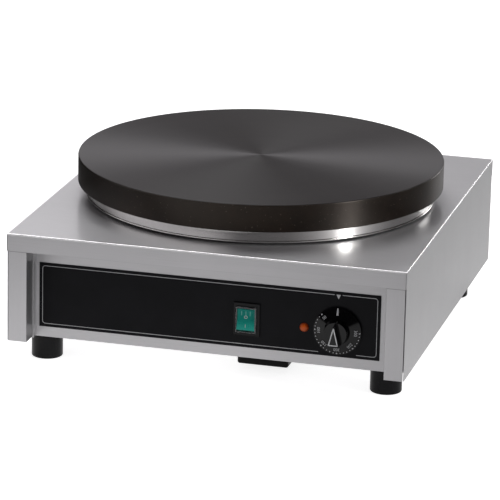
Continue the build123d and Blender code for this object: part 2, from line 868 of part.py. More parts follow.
# ---------------------------------------------------------------- studs that carry the plate
washer_z = top_z - sheet - washer_thickness
nut_z = washer_z - stud_nut_height
with BuildPart() as plate_studs:
    with BuildSketch(Plane.XY.offset(nut_z - stud_tail)):
        with stud_places:
            Circle(stud_radius)
    extrude(amount=stud_boss_z + stud_depth - gap - nut_z + stud_tail)
finish(plate_studs, "plate_studs")

with BuildPart() as stud_sleeves:
    with BuildSketch(Plane.XY.offset(tray_z + tray_sheet)):
        with stud_places:
            Circle(stud_radius + hole_gap + sleeve_wall)
            Circle(stud_radius + hole_gap, mode=Mode.SUBTRACT)
    extrude(amount=stud_boss_z - tray_z - tray_sheet)
finish(stud_sleeves, "stud_sleeves")

with BuildPart() as stud_washers:
    for low_z, thickness in ((washer_z, washer_thickness), (top_z, tray_z - top_z)):
        with BuildSketch(Plane.XY.offset(low_z)):
            with stud_places:
                Circle(washer_radius)
                Circle(stud_radius + hole_gap, mode=Mode.SUBTRACT)
        extrude(amount=thickness)
finish(stud_washers, "stud_washers")

with BuildPart() as stud_nuts:
    with BuildSketch(Plane.XY.offset(nut_z)):
        with stud_places:
            RegularPolygon(stud_nut_flats / 2, 6, major_radius=False)
            Circle(stud_radius + thread_gap, mode=Mode.SUBTRACT)
    extrude(amount=stud_nut_height)
finish(stud_nuts, "stud_nuts")

# ---------------------------------------------------------------- heating element
turn_side = Vector(-sin(radians(element_turn_angle)), cos(radians(element_turn_angle)), 0)
turn_start = polar(element_outer_radius, element_turn_angle, element_z)
turn_centre = polar(clamp_circle, element_turn_angle, element_z)
turn_middle = turn_centre + turn_side * (element_outer_radius - clamp_circle)
turn_end = polar(element_inner_radius, element_turn_angle, element_z)
half_way = (element_end_angle + element_turn_angle + 360) / 2
outer_top = Vector(outer_corner.X, outer_corner.Y, element_z - element_bend)
inner_top = Vector(inner_corner.X, inner_corner.Y, element_z - element_bend)
outer_end = Vector(outer_corner.X, outer_corner.Y, element_bottom_z)
inner_low = Vector(inner_corner.X, inner_corner.Y, element_bottom_z)


def bend_middle(corner):
    """The middle of the quarter bend that joins a level circle to the drop below a corner."""
    share = element_bend * (1 - sqrt(0.5))
    return corner + end_tangent * share - Vector(0, 0, share)


with BuildPart() as heating_element:
    with BuildLine() as element_route:
        Line(outer_end, outer_top)
        ThreePointArc(outer_top, bend_middle(outer_corner), outer_start)
        ThreePointArc(outer_start, polar(element_outer_radius, half_way, element_z), turn_start)
        ThreePointArc(turn_start, turn_middle, turn_end)
        ThreePointArc(turn_end, polar(element_inner_radius, half_way, element_z), inner_end)
        ThreePointArc(inner_end, bend_middle(inner_corner), inner_top)
        Line(inner_top, inner_low)
    with BuildSketch(Plane.XY.offset(element_bottom_z)):
        with Locations(end_places[0]):
            Circle(element_radius)
    sweep(path=element_route.line)
    with BuildSketch(Plane.XY.offset(pin_z)):
        with Locations(*end_places):
            Circle(element_pin_radius)
    extrude(amount=element_pin_length)
finish(heating_element, "heating_element")

clamp_length = element_outer_radius - element_inner_radius + 2 * clamp_overhang
with BuildPart() as element_clamps:
    with BuildSketch(Plane.XY.offset(clamp_boss_z - clamp_thickness)):
        with clamp_places:
            Rectangle(clamp_length, clamp_width)
            Circle(bolt_radius + hole_gap, mode=Mode.SUBTRACT)
    extrude(amount=clamp_thickness)
finish(element_clamps, "element_clamps")

with BuildPart() as bulb_clip:
    with BuildSketch(Plane.XY.offset(clip_boss_z - clip_bar_thickness)):
        SlotOverall(2 * clip_boss_y + clip_width, clip_width, rotation=90)
        with clip_places:
            Circle(bolt_radius + hole_gap, mode=Mode.SUBTRACT)
    extrude(amount=clip_bar_thickness)
finish(bulb_clip, "bulb_clip")

with BuildPart() as clamp_bolts:
    for seat_z, thickness, places in (
        (clamp_boss_z, clamp_thickness, clamp_places),
        (clip_boss_z, clip_bar_thickness, clip_places),
    ):
        under_z = seat_z - thickness
        with BuildSketch(Plane.XY.offset(under_z - bolt_head_height)):
            with places:
                RegularPolygon(bolt_head_flats / 2, 6, major_radius=False)
        extrude(amount=bolt_head_height)
        with BuildSketch(Plane.XY.offset(under_z)):
            with places:
                Circle(bolt_radius)
        extrude(amount=thickness + bolt_depth)
finish(clamp_bolts, "clamp_bolts")

# ---------------------------------------------------------------- thermostat bulb and tube
tube_run_z = casing_z + tube_run_rise
tube_run_y = -(panel_inner_y - tube_run_depth)
tube_route = [
    (bulb_length / 2, 0, bulb_z),
    (tube_x, 0, bulb_z),
    (tube_x, 0, tube_run_z),
    (tube_x, tube_run_y, tube_run_z),
    (knob_x, tube_run_y, tube_run_z),
    (knob_x, body_y, tube_run_z),
]
with BuildPart() as thermostat_bulb:
    with BuildSketch(Plane.YZ.offset(-bulb_length / 2)):
        with Locations((0, bulb_z)):
            Circle(bulb_radius)
    extrude(amount=bulb_length)
    add(lead(tube_route, tube_radius, tube_bend))
finish(thermostat_bulb, "thermostat_bulb")

# ---------------------------------------------------------------- terminal block and cover
cover_z = base_z - cover_drop
with BuildPart() as terminal_cover:
    with BuildSketch(Plane.XY.offset(cover_z)):
        with Locations((cover_x, cover_y)):
            Rectangle(cover_width, cover_depth)
    extrude(amount=cover_drop)
    fillet(terminal_cover.edges().filter_by(Axis.Z), radius=cover_round)
    fillet(terminal_cover.faces().sort_by(Axis.Z)[0].edges(), radius=cover_bottom_round)
    with BuildSketch(Plane.XY.offset(cover_z + cover_wall)):
        with Locations((cover_x, cover_y)):
            Rectangle(cover_width - 2 * cover_wall, cover_depth - 2 * cover_wall)
    extrude(amount=cover_drop, mode=Mode.SUBTRACT)
    with BuildSketch(Plane.XY.offset(cover_z + cover_wall)):
        with Locations(*cover_screw_places):
            Circle(cover_head_radius + hole_gap + cover_post_wall)
    extrude(amount=cover_drop - cover_wall)
    with BuildSketch(Plane.XY.offset(cover_z)):
        with Locations(*cover_screw_places):
            Circle(cover_screw_radius + hole_gap)
    extrude(amount=cover_drop, mode=Mode.SUBTRACT)
    with BuildSketch(Plane.XY.offset(cover_z)):
        with Locations(*cover_screw_places):
            Circle(cover_head_radius + hole_gap)
    extrude(amount=cover_head_height + gap, mode=Mode.SUBTRACT)
finish(terminal_cover, "terminal_cover")

with BuildPart() as terminal_cover_screws:
    with BuildSketch(Plane.XY.offset(cover_z + gap)):
        with Locations(*cover_screw_places):
            Circle(cover_head_radius)
    extrude(amount=cover_head_height)
    with BuildSketch(Plane.XY.offset(cover_z + gap + cover_head_height)):
        with Locations(*cover_screw_places):
            Circle(cover_screw_radius)
    extrude(amount=cover_drop - cover_head_height + sheet)
finish(terminal_cover_screws, "terminal_cover_screws")

block_z = cover_z + cover_wall
block_top_z = block_z + block_height
pole_sink_z = block_top_z - pole_screw_sink
first_pole = -(pole_count - 1) / 2
pole_screw_places = Locations(
    *[(cover_x + (first_pole + i) * pole_pitch, cover_y - pole_set) for i in range(pole_count)]
)
with BuildPart() as terminal_block:
    with BuildSketch(Plane.XY.offset(block_z)):
        with Locations((cover_x, cover_y)):
            Rectangle(block_width, block_depth)
    extrude(amount=block_height)
    with BuildSketch(Plane.XY.offset(pole_sink_z)):
        with pole_screw_places:
            Circle(pole_screw_radius + thread_gap)
    extrude(amount=pole_screw_sink, mode=Mode.SUBTRACT)
finish(terminal_block, "terminal_block")

with BuildPart() as terminal_screws:
    with BuildSketch(Plane.XY.offset(pole_sink_z)):
        with pole_screw_places:
            Circle(pole_screw_radius)
    extrude(amount=pole_screw_length)
finish(terminal_screws, "terminal_screws")

# ---------------------------------------------------------------- leads
low_spade_z = switch_z - spade_z
high_spade_z = switch_z + spade_z
left_spade_x = switch_x - spade_x
right_spade_x = switch_x + spade_x
pole_y = cover_y + pole_set
with BuildPart() as supply_leads:
    for x in (left_spade_x, right_spade_x):
        route = [(x, pole_y, block_top_z), (x, pole_y, low_spade_z), (x, spade_end_y, low_spade_z)]
        add(lead(route, lead_radius, lead_bend))
finish(supply_leads, "supply_leads")

near_contact_x = knob_x - thermostat_width / 3
far_contact_x = knob_x + thermostat_width / 3
far_lead_z = casing_z + far_lead_rise
near_lead_z = casing_z + near_lead_rise
far_lead_y = -(panel_inner_y - far_lead_depth)
near_lead_y = -(panel_inner_y - near_lead_depth)
link_y = -(panel_inner_y - link_depth)
element_lead_routes = [
    # From the element's outer end to the switch
    [
        (outer_corner.X, outer_corner.Y, pin_z),
        (outer_corner.X, outer_corner.Y, far_lead_z),
        (outer_corner.X, far_lead_y, far_lead_z),
        (left_spade_x, far_lead_y, far_lead_z),
        (left_spade_x, far_lead_y, high_spade_z),
        (left_spade_x, spade_end_y, high_spade_z),
    ],
    # From the element's inner end to the thermostat
    [
        (inner_corner.X, inner_corner.Y, pin_z),
        (inner_corner.X, inner_corner.Y, near_lead_z),
        (inner_corner.X, near_lead_y, near_lead_z),
        (far_contact_x, near_lead_y, near_lead_z),
        (far_contact_x, near_lead_y, high_spade_z),
        (far_contact_x, body_y, high_spade_z),
    ],
    # From the thermostat to the switch
    [
        (right_spade_x, spade_end_y, high_spade_z),
        (right_spade_x, link_y, high_spade_z),
        (near_contact_x, link_y, high_spade_z),
        (near_contact_x, body_y, high_spade_z),
    ],
]
with BuildPart() as element_leads:
    for route in element_lead_routes:
        add(lead(route, lead_radius, lead_bend))
finish(element_leads, "element_leads")

lamp_lead_y = -(panel_inner_y - lamp_lead_depth)
high_lamp_z = lamp_z + lamp_lead_spread
low_lamp_z = lamp_z - lamp_lead_spread
lamp_contact_x = knob_x - thermostat_width / 4
with BuildPart() as lamp_leads:
    for end_x, end_y, z in (
        (switch_x, housing_back_y, high_lamp_z),
        (lamp_contact_x, body_y, low_lamp_z),
    ):
        route = [
            (lamp_x, lamp_back_y, z),
            (lamp_x, lamp_lead_y, z),
            (end_x, lamp_lead_y, z),
            (end_x, end_y, z),
        ]
        add(lead(route, lead_radius, lead_bend))
finish(lamp_leads, "lamp_leads")

earth_z = casing_z + lead_radius + gap
bond_inner_y = panel_inner_y - m6_head_height
earth_drop_y = bond_inner_y - earth_drop_depth
earth_route = [
    (bond_x, bond_inner_y, bond_z),
    (bond_x, earth_drop_y, bond_z),
    (bond_x, earth_drop_y, earth_z),
    (bond_x, cover_y + block_depth / 2, earth_z),
]
with BuildPart() as earth_lead:
    add(lead(earth_route, lead_radius, lead_bend))
finish(earth_lead, "earth_lead")

# ---------------------------------------------------------------- cable gland and bonding stud
rear_face = Plane(origin=(gland_x, panel_y, gland_z), x_dir=(-1, 0, 0), z_dir=(0, 1, 0))
gland_out = gland_hex_length + gland_dome_length + gland_nose_length
with BuildPart() as cable_gland:
    with BuildSketch(rear_face.offset(-gland_thread_length)):
        Circle(gland_thread_radius)
    extrude(amount=gland_thread_length)
    with BuildSketch(rear_face):
        RegularPolygon(gland_flats / 2, 6, major_radius=False)
    extrude(amount=gland_hex_length)
    with BuildSketch(rear_face.offset(gland_hex_length)):
        Circle(gland_dome_radius)
    extrude(amount=gland_dome_length)
    with BuildSketch(rear_face.offset(gland_hex_length + gland_dome_length)):
        Circle(gland_dome_radius)
    with BuildSketch(rear_face.offset(gland_out)):
        Circle(gland_nose_radius)
    loft()
    with BuildSketch(rear_face.offset(-gland_thread_length)):
        Circle(gland_bore)
    extrude(amount=gland_thread_length + gland_out, mode=Mode.SUBTRACT)
finish(cable_gland, "cable_gland")

with BuildPart() as gland_locknut:
    with BuildSketch(rear_face.offset(-sheet - locknut_thickness)):
        RegularPolygon(gland_flats / 2, 6, major_radius=False)
        Circle(gland_thread_radius + thread_gap, mode=Mode.SUBTRACT)
    extrude(amount=locknut_thickness)
finish(gland_locknut, "gland_locknut")

# An undercut past its own nut ends the stud's fixed part, and the free end beyond it takes the bonding lead
bond_seat = bond_washer_thickness + m6_nut_height
bond_face = Plane(origin=(bond_x, panel_y, bond_z), x_dir=(-1, 0, 0), z_dir=(0, 1, 0))
with BuildPart() as bonding_stud:
    with BuildSketch(bond_face.offset(-sheet - m6_head_height)):
        RegularPolygon(m6_flats / 2, 6, major_radius=False)
    extrude(amount=m6_head_height)
    with BuildSketch(bond_face.offset(-sheet)):
        Circle(m6_radius - thread_gap)
    extrude(amount=sheet + bond_seat)
    with BuildSketch(bond_face.offset(bond_seat)):
        Circle(bond_undercut_radius)
    extrude(amount=bond_undercut)
    with BuildSketch(bond_face.offset(bond_seat + bond_undercut)):
        Circle(m6_radius)
    extrude(amount=bond_free_length)
finish(bonding_stud, "bonding_stud")

with BuildPart() as bonding_nut:
    with BuildSketch(bond_face):
        Circle(bond_washer_radius)
        Circle(m6_radius + thread_gap, mode=Mode.SUBTRACT)
    extrude(amount=bond_washer_thickness)
    with BuildSketch(bond_face.offset(bond_washer_thickness)):
        RegularPolygon(m6_flats / 2, 6, major_radius=False)
        Circle(m6_radius + thread_gap, mode=Mode.SUBTRACT)
    extrude(amount=m6_nut_height)
finish(bonding_nut, "bonding_nut")
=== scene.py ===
import math

import bmesh
import bpy
from mathutils import Matrix, Vector


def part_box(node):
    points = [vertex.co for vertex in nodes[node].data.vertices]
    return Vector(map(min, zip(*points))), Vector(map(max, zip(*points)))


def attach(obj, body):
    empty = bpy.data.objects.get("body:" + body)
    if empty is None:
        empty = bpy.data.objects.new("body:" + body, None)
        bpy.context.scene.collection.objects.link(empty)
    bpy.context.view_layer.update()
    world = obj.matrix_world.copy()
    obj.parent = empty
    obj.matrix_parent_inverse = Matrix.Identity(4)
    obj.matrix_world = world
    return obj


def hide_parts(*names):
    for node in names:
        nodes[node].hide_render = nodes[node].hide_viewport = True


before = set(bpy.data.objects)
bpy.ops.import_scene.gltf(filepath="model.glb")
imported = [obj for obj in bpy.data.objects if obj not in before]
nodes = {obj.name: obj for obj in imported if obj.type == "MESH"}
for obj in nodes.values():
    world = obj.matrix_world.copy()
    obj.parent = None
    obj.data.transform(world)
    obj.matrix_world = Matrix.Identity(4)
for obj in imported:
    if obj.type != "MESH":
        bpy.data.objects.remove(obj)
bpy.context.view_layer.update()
scene = bpy.context.scene
scene.view_settings.view_transform = "Standard"

# ------------------------------------------------------------------ camera
# A long lens a little above the worktop, right of the appliance's front. The columns of
# its matrix are the camera's right, up and back directions, and its place
camera_data = bpy.data.cameras.new("camera")
camera_data.lens = 247.346
camera_data.sensor_width = 36
camera_data.clip_end = 100
camera = bpy.data.objects.new("camera", camera_data)
scene.collection.objects.link(camera)
camera.matrix_world = Matrix(
    (
        (0.966724, -0.094094, 0.237890, 0.89161),
        (0.254896, 0.275178, -0.926987, -3.51452),
        (0.021762, 0.956778, 0.290005, 1.18200),
        (0, 0, 0, 1),
    )
)
scene.camera = camera


# ------------------------------------------------------------------ studio
# A white worktop in a dark room with pale walls behind and at the left, a large softbox
# overhead, a narrow one at the right and two small ones behind at the right
class Signal:
    """A shader socket. Operators add Math nodes, and node() adds any other node."""

    def __init__(self, tree, socket=None):
        self.tree = tree
        self.socket = socket

    def node(self, kind, sockets=None, out=0, **settings):
        """Adds a node with values or signals at its sockets, and returns one output."""
        made = self.tree.nodes.new("ShaderNode" + kind)
        for name, value in settings.items():
            setattr(made, name, value)
        for name, value in (sockets or {}).items():
            if isinstance(value, Signal):
                self.tree.links.new(value.socket, made.inputs[name])
            else:
                made.inputs[name].default_value = value
        return Signal(self.tree, made.outputs[out]) if made.outputs else None

    def also(self, out):
        """Another output of the node that this signal comes from."""
        return Signal(self.tree, self.socket.node.outputs[out])

    def maths(self, operation, *others):
        return self.node("Math", dict(enumerate((self, *others))), operation=operation)

    def vectors(self, operation, *others, out=0):
        return self.node("VectorMath", dict(enumerate((self, *others))), out, operation=operation)

    def axis(self, index):
        """One component of a vector."""
        return self.node("SeparateXYZ", {0: self}, index)

    def __add__(self, other):
        return self.maths("ADD", other)

    __radd__ = __add__

    def __mul__(self, other):
        return self.maths("MULTIPLY", other)

    def __sub__(self, other):
        return self.maths("SUBTRACT", other)

    def __rsub__(self, other):
        return self.node("Math", {0: other, 1: self}, operation="SUBTRACT")

    def __abs__(self):
        return self.maths("ABSOLUTE")

    def step(self, low, high):
        """0 below low, 1 above high and a smooth rise between them."""
        ends = {"Value": self, "From Min": low, "From Max": high}
        return self.node("MapRange", ends, interpolation_type="SMOOTHSTEP")

    def blend(self, first, second):
        """first where this signal is 0 and second where it is 1, for numbers."""
        return self.node("Mix", {0: self, 2: first, 3: second}, data_type="FLOAT")

    def tint(self, first, second):
        """first where this signal is 0 and second where it is 1, for colours."""
        ends = [c if isinstance(c, Signal) else (*c, 1.0) for c in (first, second)]
        return self.node("Mix", {0: self, 6: ends[0], 7: ends[1]}, 2, data_type="RGBA")

    def shades(self, dark, light):
        """A colour that wanders from dark to light with a noise."""
        return self.step(0.3, 0.7).tint(dark, light)


def blank(name):
    """A new object with an empty mesh."""
    made = bpy.data.objects.new(name, bpy.data.meshes.new(name))
    scene.collection.objects.link(made)
    return made


def fill(made, form):
    form.to_mesh(made.data)
    form.free()


def start_finish(name):
    """A new material, and its Object coordinates as a signal."""
    material = bpy.data.materials.new(name)
    material.use_nodes = True
    material.node_tree.nodes.clear()
    return material, Signal(material.node_tree).node("TexCoord", out=3)


white = (1.0, 1.0, 1.0, 1.0)
room_tint = (0.99, 0.965, 1.0, 1.0)
room_level = 0.02
left_wall_level = 1.4
back_wall_level = 1.0
back_right_level = 0.38
right_glow_level = 0.36
high_wall_level = 0.12
ceiling_level = 0.35
# Heights in the room, each where a change starts and ends, as sines of the elevation
left_wall_foot = (0.10, 0.20)
wall_top = (0.37, 0.47)
ceiling_edge = (0.62, 0.82)

studio = bpy.data.worlds.new("studio")
scene.world = studio
studio.use_nodes = True
studio.node_tree.nodes.clear()
sky = Signal(studio.node_tree)
ray = sky.node("TexCoord")
level_ray = ray.vectors("MULTIPLY", (1.0, 1.0, 0.0)).vectors("NORMALIZE")
height = ray.axis(2)


def toward(azimuth, inner, outer):
    """1 within inner degrees of an azimuth, falling to 0 at outer degrees."""
    angle = math.radians(azimuth)
    along = level_ray.vectors("DOT_PRODUCT", (math.cos(angle), math.sin(angle), 0.0), out=1)
    return along.step(math.cos(math.radians(outer)), math.cos(math.radians(inner)))


left_wall = toward(216, 26, 58) * height.step(*left_wall_foot) * left_wall_level
back_wall = toward(88, 28, 35) * toward(130, 22, 33).blend(back_right_level, back_wall_level)
right_glow = toward(343, 5, 42) * right_glow_level
level = left_wall + back_wall + right_glow + room_level
level = height.step(*wall_top).blend(level, high_wall_level)
level = height.step(*ceiling_edge).blend(level, ceiling_level)
seen = sky.node("LightPath")
direct = seen.maths("MAXIMUM", seen.also("Is Transmission Ray"))
backdrop = sky.node("Background", {0: white, 1: 1.0})
surround = sky.node("Background", {0: room_tint, 1: level})
sky.node("OutputWorld", {0: sky.node("MixShader", {0: direct, 1: surround, 2: backdrop})})

softbox_reach = 3.0
plate_edge = (0.2, 0.0, 0.15)


def around(azimuth, elevation):
    """A place on the circle of softboxes."""
    turn, rise = math.radians(azimuth), math.radians(elevation)
    return (
        softbox_reach * math.cos(rise) * math.cos(turn),
        softbox_reach * math.cos(rise) * math.sin(turn),
        softbox_reach * math.sin(rise),
    )


def soft_light(name, place, aim, size, power):
    """A rectangular softbox at a place, turned to face a point."""
    data = bpy.data.lights.new(name, "AREA")
    data.shape = "RECTANGLE"
    data.size, data.size_y = size
    data.energy = power
    lamp = bpy.data.objects.new(name, data)
    scene.collection.objects.link(lamp)
    facing = (Vector(aim) - Vector(place)).to_track_quat("-Z", "Y")
    lamp.matrix_world = Matrix.Translation(place) @ facing.to_matrix().to_4x4()


soft_light("narrow_softbox", around(341, 24), (0.1, -0.1, 0.15), (0.32, 1.5), 35)
soft_light("overhead_softbox", (-0.7, 0.8, 2.4), (-0.4, 0.5, 0.0), (1.5, 1.9), 28)
soft_light("back_softbox", around(63, 14), plate_edge, (0.9, 0.5), 9)
soft_light("corner_softbox", around(52, 42), plate_edge, (0.6, 0.6), 5.5)

# The worktop glows white where it is looked at. In reflections it is duller, and it ends
# a little beyond the appliance's sides and front
worktop_half = 14
worktop_colour, dim_colour = (0.62, 0.62, 0.62), (0.04, 0.04, 0.04)
seen_glow, near_glow, far_glow = 0.84, 0.68, 0.44
# Each fade's start and end: distance from a point in front, and the places across and ahead
glow_centre, glow_fade = (-0.1, -0.3, 0.0), (0.2, 0.75)
side_fade, front_fade, right_fade = (0.38, 0.50), (-0.82, -0.74), (-0.05, 0.30)
right_dimming = 0.34

worktop = blank("worktop")
form = bmesh.new()
bmesh.ops.create_grid(form, x_segments=1, y_segments=1, size=worktop_half)
fill(worktop, form)
white_worktop, here = start_finish("white_worktop")
seen = here.node("LightPath")
glossy = seen.also("Is Glossy Ray")
aside, ahead = here.axis(0), here.axis(1)
from_front = here.vectors("DISTANCE", glow_centre, out=1)
glow = from_front.step(*glow_fade).blend(near_glow, far_glow)
off_side = abs(aside).step(*side_fade)
off_front = 1.0 - ahead.step(*front_fade)
beyond = off_side.maths("MAXIMUM", off_front) * glossy
fading = beyond.maths("MAXIMUM", aside.step(*right_fade) * glossy * right_dimming)
lift = (seen + seen.also("Is Transmission Ray")) * seen_glow + glossy * glow * (1.0 - fading)
laid = here.node("BsdfDiffuse", {0: fading.tint(worktop_colour, dim_colour)})
bright = here.node("Emission", {0: white, 1: lift.maths("MINIMUM", seen_glow)})
here.node("OutputMaterial", {0: here.node("AddShader", {0: laid, 1: bright})})
worktop.data.materials.append(white_worktop)


# ------------------------------------------------------------------ casing
# One folded sheet of brushed stainless steel: top, sides, lips and corner posts,
# spot welded at the corners, with a small radius along every fold
steel_colour = (0.507, 0.500, 0.512)
# A near-white colour for the painted highlight along the top's folds
painted_highlight_colour = (0.96, 0.95, 0.96)
# Shares of the steel's colour for painted shade: on the posts' inner faces, and in a line under the
# lip
inner_shade, lip_shade = 0.52, 0.55
casing_low, casing_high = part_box("top_casing")
sheet = 0.0012
lip_foot = 0.128
post_inner, post_front = 0.195, 0.2295
post_reach = 0.0013  # the posts' inner faces are drawn in by this much
post_fold = 0.0010
post_step = 0.0007  # the posts' faces end this far in from the casing's sides
post_slit, slit_depth = 0.0007, 0.008  # between a post's face and the side sheet
seam_inset, seam_width = 0.00035, 0.00045
part_sheet = 0.001  # less than the sheet's thickness; cutters reach this far outside
sheet_trim = 0.0002  # a step leaves this much of the sheet, and a seam goes as far past it
same_place = 1e-5
fold_facet = 0.0006  # edges along a fold's arc are shorter than this
large_face = 4e-4
facing = (0.6, 0.8)  # a normal's share along an axis, from slanting to facing it
blur = 0.0005  # half the width of a change of shade
# How far in from an edge a band of another shade starts, and where it is full.
# The side, front and top bands hold the painted highlight along the folds, the lip's band
# the painted shadow under the lip
side_band, front_band, top_band = (0.0017, 0.0011), (0.0030, 0.0020), (0.0018, 0.0011)
lip_band = (0.0012, 0.0008)


def surface(here, **values):
    """Ends a finish in a Principled surface. An underscore in a name stands for a space."""
    sockets = {name.replace("_", " "): value for name, value in values.items()}
    here.node("OutputMaterial", {0: here.node("BsdfPrincipled", sockets)})


def noise(where, scale, detail=2.0, roughness=0.5):
    sockets = {"Vector": where, "Scale": scale, "Detail": detail, "Roughness": roughness}
    return where.node("TexNoise", sockets)


def bump(signal, strength, distance, after=None):
    sockets = {"Height": signal, "Strength": strength, "Distance": distance}
    if after:
        sockets["Normal"] = after
    return signal.node("Bump", sockets)


def scaled(colour, by):
    return tuple(c * by for c in colour)


def near_edge(signal, edge, band):
    """1 within a band along an edge, 0 further in."""
    return signal.step(edge - band[0], edge - band[1])


def brush_lines(here, axis):
    """Brush lines along an axis, and the finer scratches between them."""
    lines, scratches = [1800.0] * 3, [6500.0] * 3
    lines[axis], scratches[axis] = 12.0, 60.0
    lines = noise(here.node("Mapping", {"Vector": here, "Scale": lines}), 1.0, 3.0, 0.6)
    scratches = noise(here.node("Mapping", {"Vector": here, "Scale": scratches}), 1.0, 1.0, 0.5)
    return lines, scratches


def brushed(name, folded_sides):
    """Brushed stainless steel. The grain runs across, and down the folded sides and posts,
    where the top's folds carry a painted highlight, the posts' inner faces painted shade,
    and a strip under the lip a painted shadow."""
    material, here = start_finish(name)
    grain, scratch = brush_lines(here, 0)
    if folded_sides:
        normal = here.also("Normal")
        x, y, z = (here.axis(i) for i in range(3))
        side = abs(normal.axis(0)).step(*facing)
        upright = 1.0 - abs(normal.axis(2)).step(*facing)
        below_lip = 1.0 - z.step(lip_foot - blur, lip_foot + blur)
        vertical = (side + upright * below_lip).maths("MINIMUM", 1.0)
        down, scratch_down = brush_lines(here, 2)
        grain, scratch = vertical.blend(grain, down), vertical.blend(scratch, scratch_down)
        side_fold = near_edge(abs(x), casing_high.x, side_band)
        front_fold = near_edge(abs(y), casing_high.y, front_band)
        top_fold = near_edge(z, casing_high.z, top_band)
        # Painted highlight along the top's folds, which are also made less rough
        painted_fold_highlight = side_fold.maths("MAXIMUM", front_fold) * top_fold
        # Painted shade on the sideways faces that lie within the posts' inner edges
        inner_faces_painted_shade = side * (1.0 - abs(x).step(post_inner - blur, post_inner + blur))
        # A painted shadow line on the front faces just below the lip
        painted_lip_shadow = near_edge(z, lip_foot, lip_band) * upright * below_lip * (1.0 - side)
    cloud = noise(here, 9.0, 2.0, 0.55)
    haze = noise(here, 34.0, 3.0, 0.6)
    wave = noise(here, 5.0, 1.0, 0.4)
    dark, light = scaled(steel_colour, 0.95), scaled(steel_colour, 1.04)
    colour = (grain * 0.6 + cloud * 0.4).shades(dark, light)
    rough = 0.45 + grain * 0.10 + haze * 0.06
    if folded_sides:
        # Painted light in the steel's colour: a highlight along the folds, shade on the posts'
        # inner faces and a shadow line under the lip
        colour = painted_fold_highlight.tint(colour, painted_highlight_colour)
        colour = inner_faces_painted_shade.tint(colour, scaled(steel_colour, inner_shade))
        colour = painted_lip_shadow.tint(colour, scaled(steel_colour, lip_shade))
        rough = painted_fold_highlight.blend(rough, 0.26)
    surface(
        here,
        Base_Color=colour,
        Metallic=1.0,
        Roughness=rough,
        Coat_Weight=0.75 + haze * 0.1,
        Coat_Roughness=0.19,
        Normal=bump(scratch, 1.0, 0.00003, bump(wave, 0.06, 0.004)),
    )
    return material


def copy_of(node, name=None):
    """A merged copy of a CAD node's mesh, as a new object with flat faces in one piece."""
    form = bmesh.new()
    form.from_mesh(nodes[node].data)
    bmesh.ops.remove_doubles(form, verts=form.verts, dist=1e-6)
    bmesh.ops.dissolve_limit(form, angle_limit=0.002, verts=form.verts, edges=form.edges)
    bmesh.ops.recalc_face_normals(form, faces=form.faces)
    return blank(name or node + "_finished"), form


def settle(made, form, material, body, slot, *replaced, smooth=30, flat=None):
    """Puts a mesh in its object, with its finish, its body and the CAD nodes it stands for.
    Faces larger than flat, in square metres, are shaded as true planes."""
    if form:
        fill(made, form)
    made.data.shade_smooth()
    made.data.set_sharp_from_angle(angle=math.radians(smooth))
    for face in made.data.polygons:
        face.use_smooth = not flat or face.area < flat
    weighted = made.modifiers.new("even_faces", "WEIGHTED_NORMAL")
    weighted.keep_sharp = True
    made.data.materials.clear()
    made.data.materials.append(material)
    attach(made, body)
    if replaced:
        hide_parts(*replaced)


def evaluated(made):
    """The plain mesh of an object with its modifiers or its text worked out."""
    depsgraph = bpy.context.evaluated_depsgraph_get()
    return bpy.data.meshes.new_from_object(made.evaluated_get(depsgraph))


def carve(form, boxes):
    """Cuts rectangular boxes, each a pair of opposite corners, out of a closed form."""
    tool = bmesh.new()
    for low, high in boxes:
        for v in bmesh.ops.create_cube(tool, size=1.0)["verts"]:
            ends = zip(v.co, low, high)
            v.co = Vector(min(l, h) if c < 0 else max(l, h) for c, l, h in ends)
    body, cutter = blank("carving"), blank("carving")
    form.to_mesh(body.data)
    fill(cutter, tool)
    cut = body.modifiers.new("cut", "BOOLEAN")
    cut.operation, cut.solver, cut.object = "DIFFERENCE", "EXACT", cutter
    result = evaluated(body)
    form.clear()
    form.from_mesh(result)
    for spent in (body, cutter):
        bpy.data.objects.remove(spent)
    bpy.data.meshes.remove(result)


def round_edges(form, chosen, radius, segments=3):
    bmesh.ops.bevel(
        form,
        geom=chosen,
        offset=radius,
        segments=segments,
        profile=0.5,
        affect="EDGES",
        clamp_overlap=True,
    )


casing_steel = brushed("casing_steel", True)
casing, form = copy_of("top_casing")
for v in form.verts:
    if abs(abs(v.co.x) - post_inner) < same_place and v.co.z < casing_high.z - part_sheet:
        v.co.x -= math.copysign(post_reach, v.co.x)
steps, slits, seams = [], [], []
step_x, seam_x = casing_high.x - post_step, casing_high.x - seam_inset
post_foot, lip_edge = casing_low.z - part_sheet, lip_foot - 0.0001
signs = [(x, y) for x in (-1, 1) for y in (-1, 1)]
for x, y in signs:
    out_x, out_y = x * (casing_high.x + part_sheet), y * (casing_high.y + part_sheet)
    step_y = y * (post_front - sheet + sheet_trim)
    seam_y = y * (casing_high.y - sheet - sheet_trim)
    steps.append(((x * step_x, step_y, post_foot), (out_x, out_y, lip_edge)))
    slit_start = (x * (step_x - post_slit), y * (post_front - slit_depth), post_foot)
    slits.append((slit_start, (x * (step_x + 0.00002), out_y, lip_edge - 0.00005)))
    seam_start = (x * (seam_x - seam_width), seam_y, lip_foot - 0.001)
    seams.append((seam_start, (x * seam_x, out_y, casing_high.z - 0.0013)))
for gaps in (steps, slits, seams):
    carve(form, gaps)


def stands_at(edge, x, y):
    """Whether an edge is vertical at a place."""
    return all(math.hypot(v.co.x - x, v.co.y - y) < same_place for v in edge.verts)


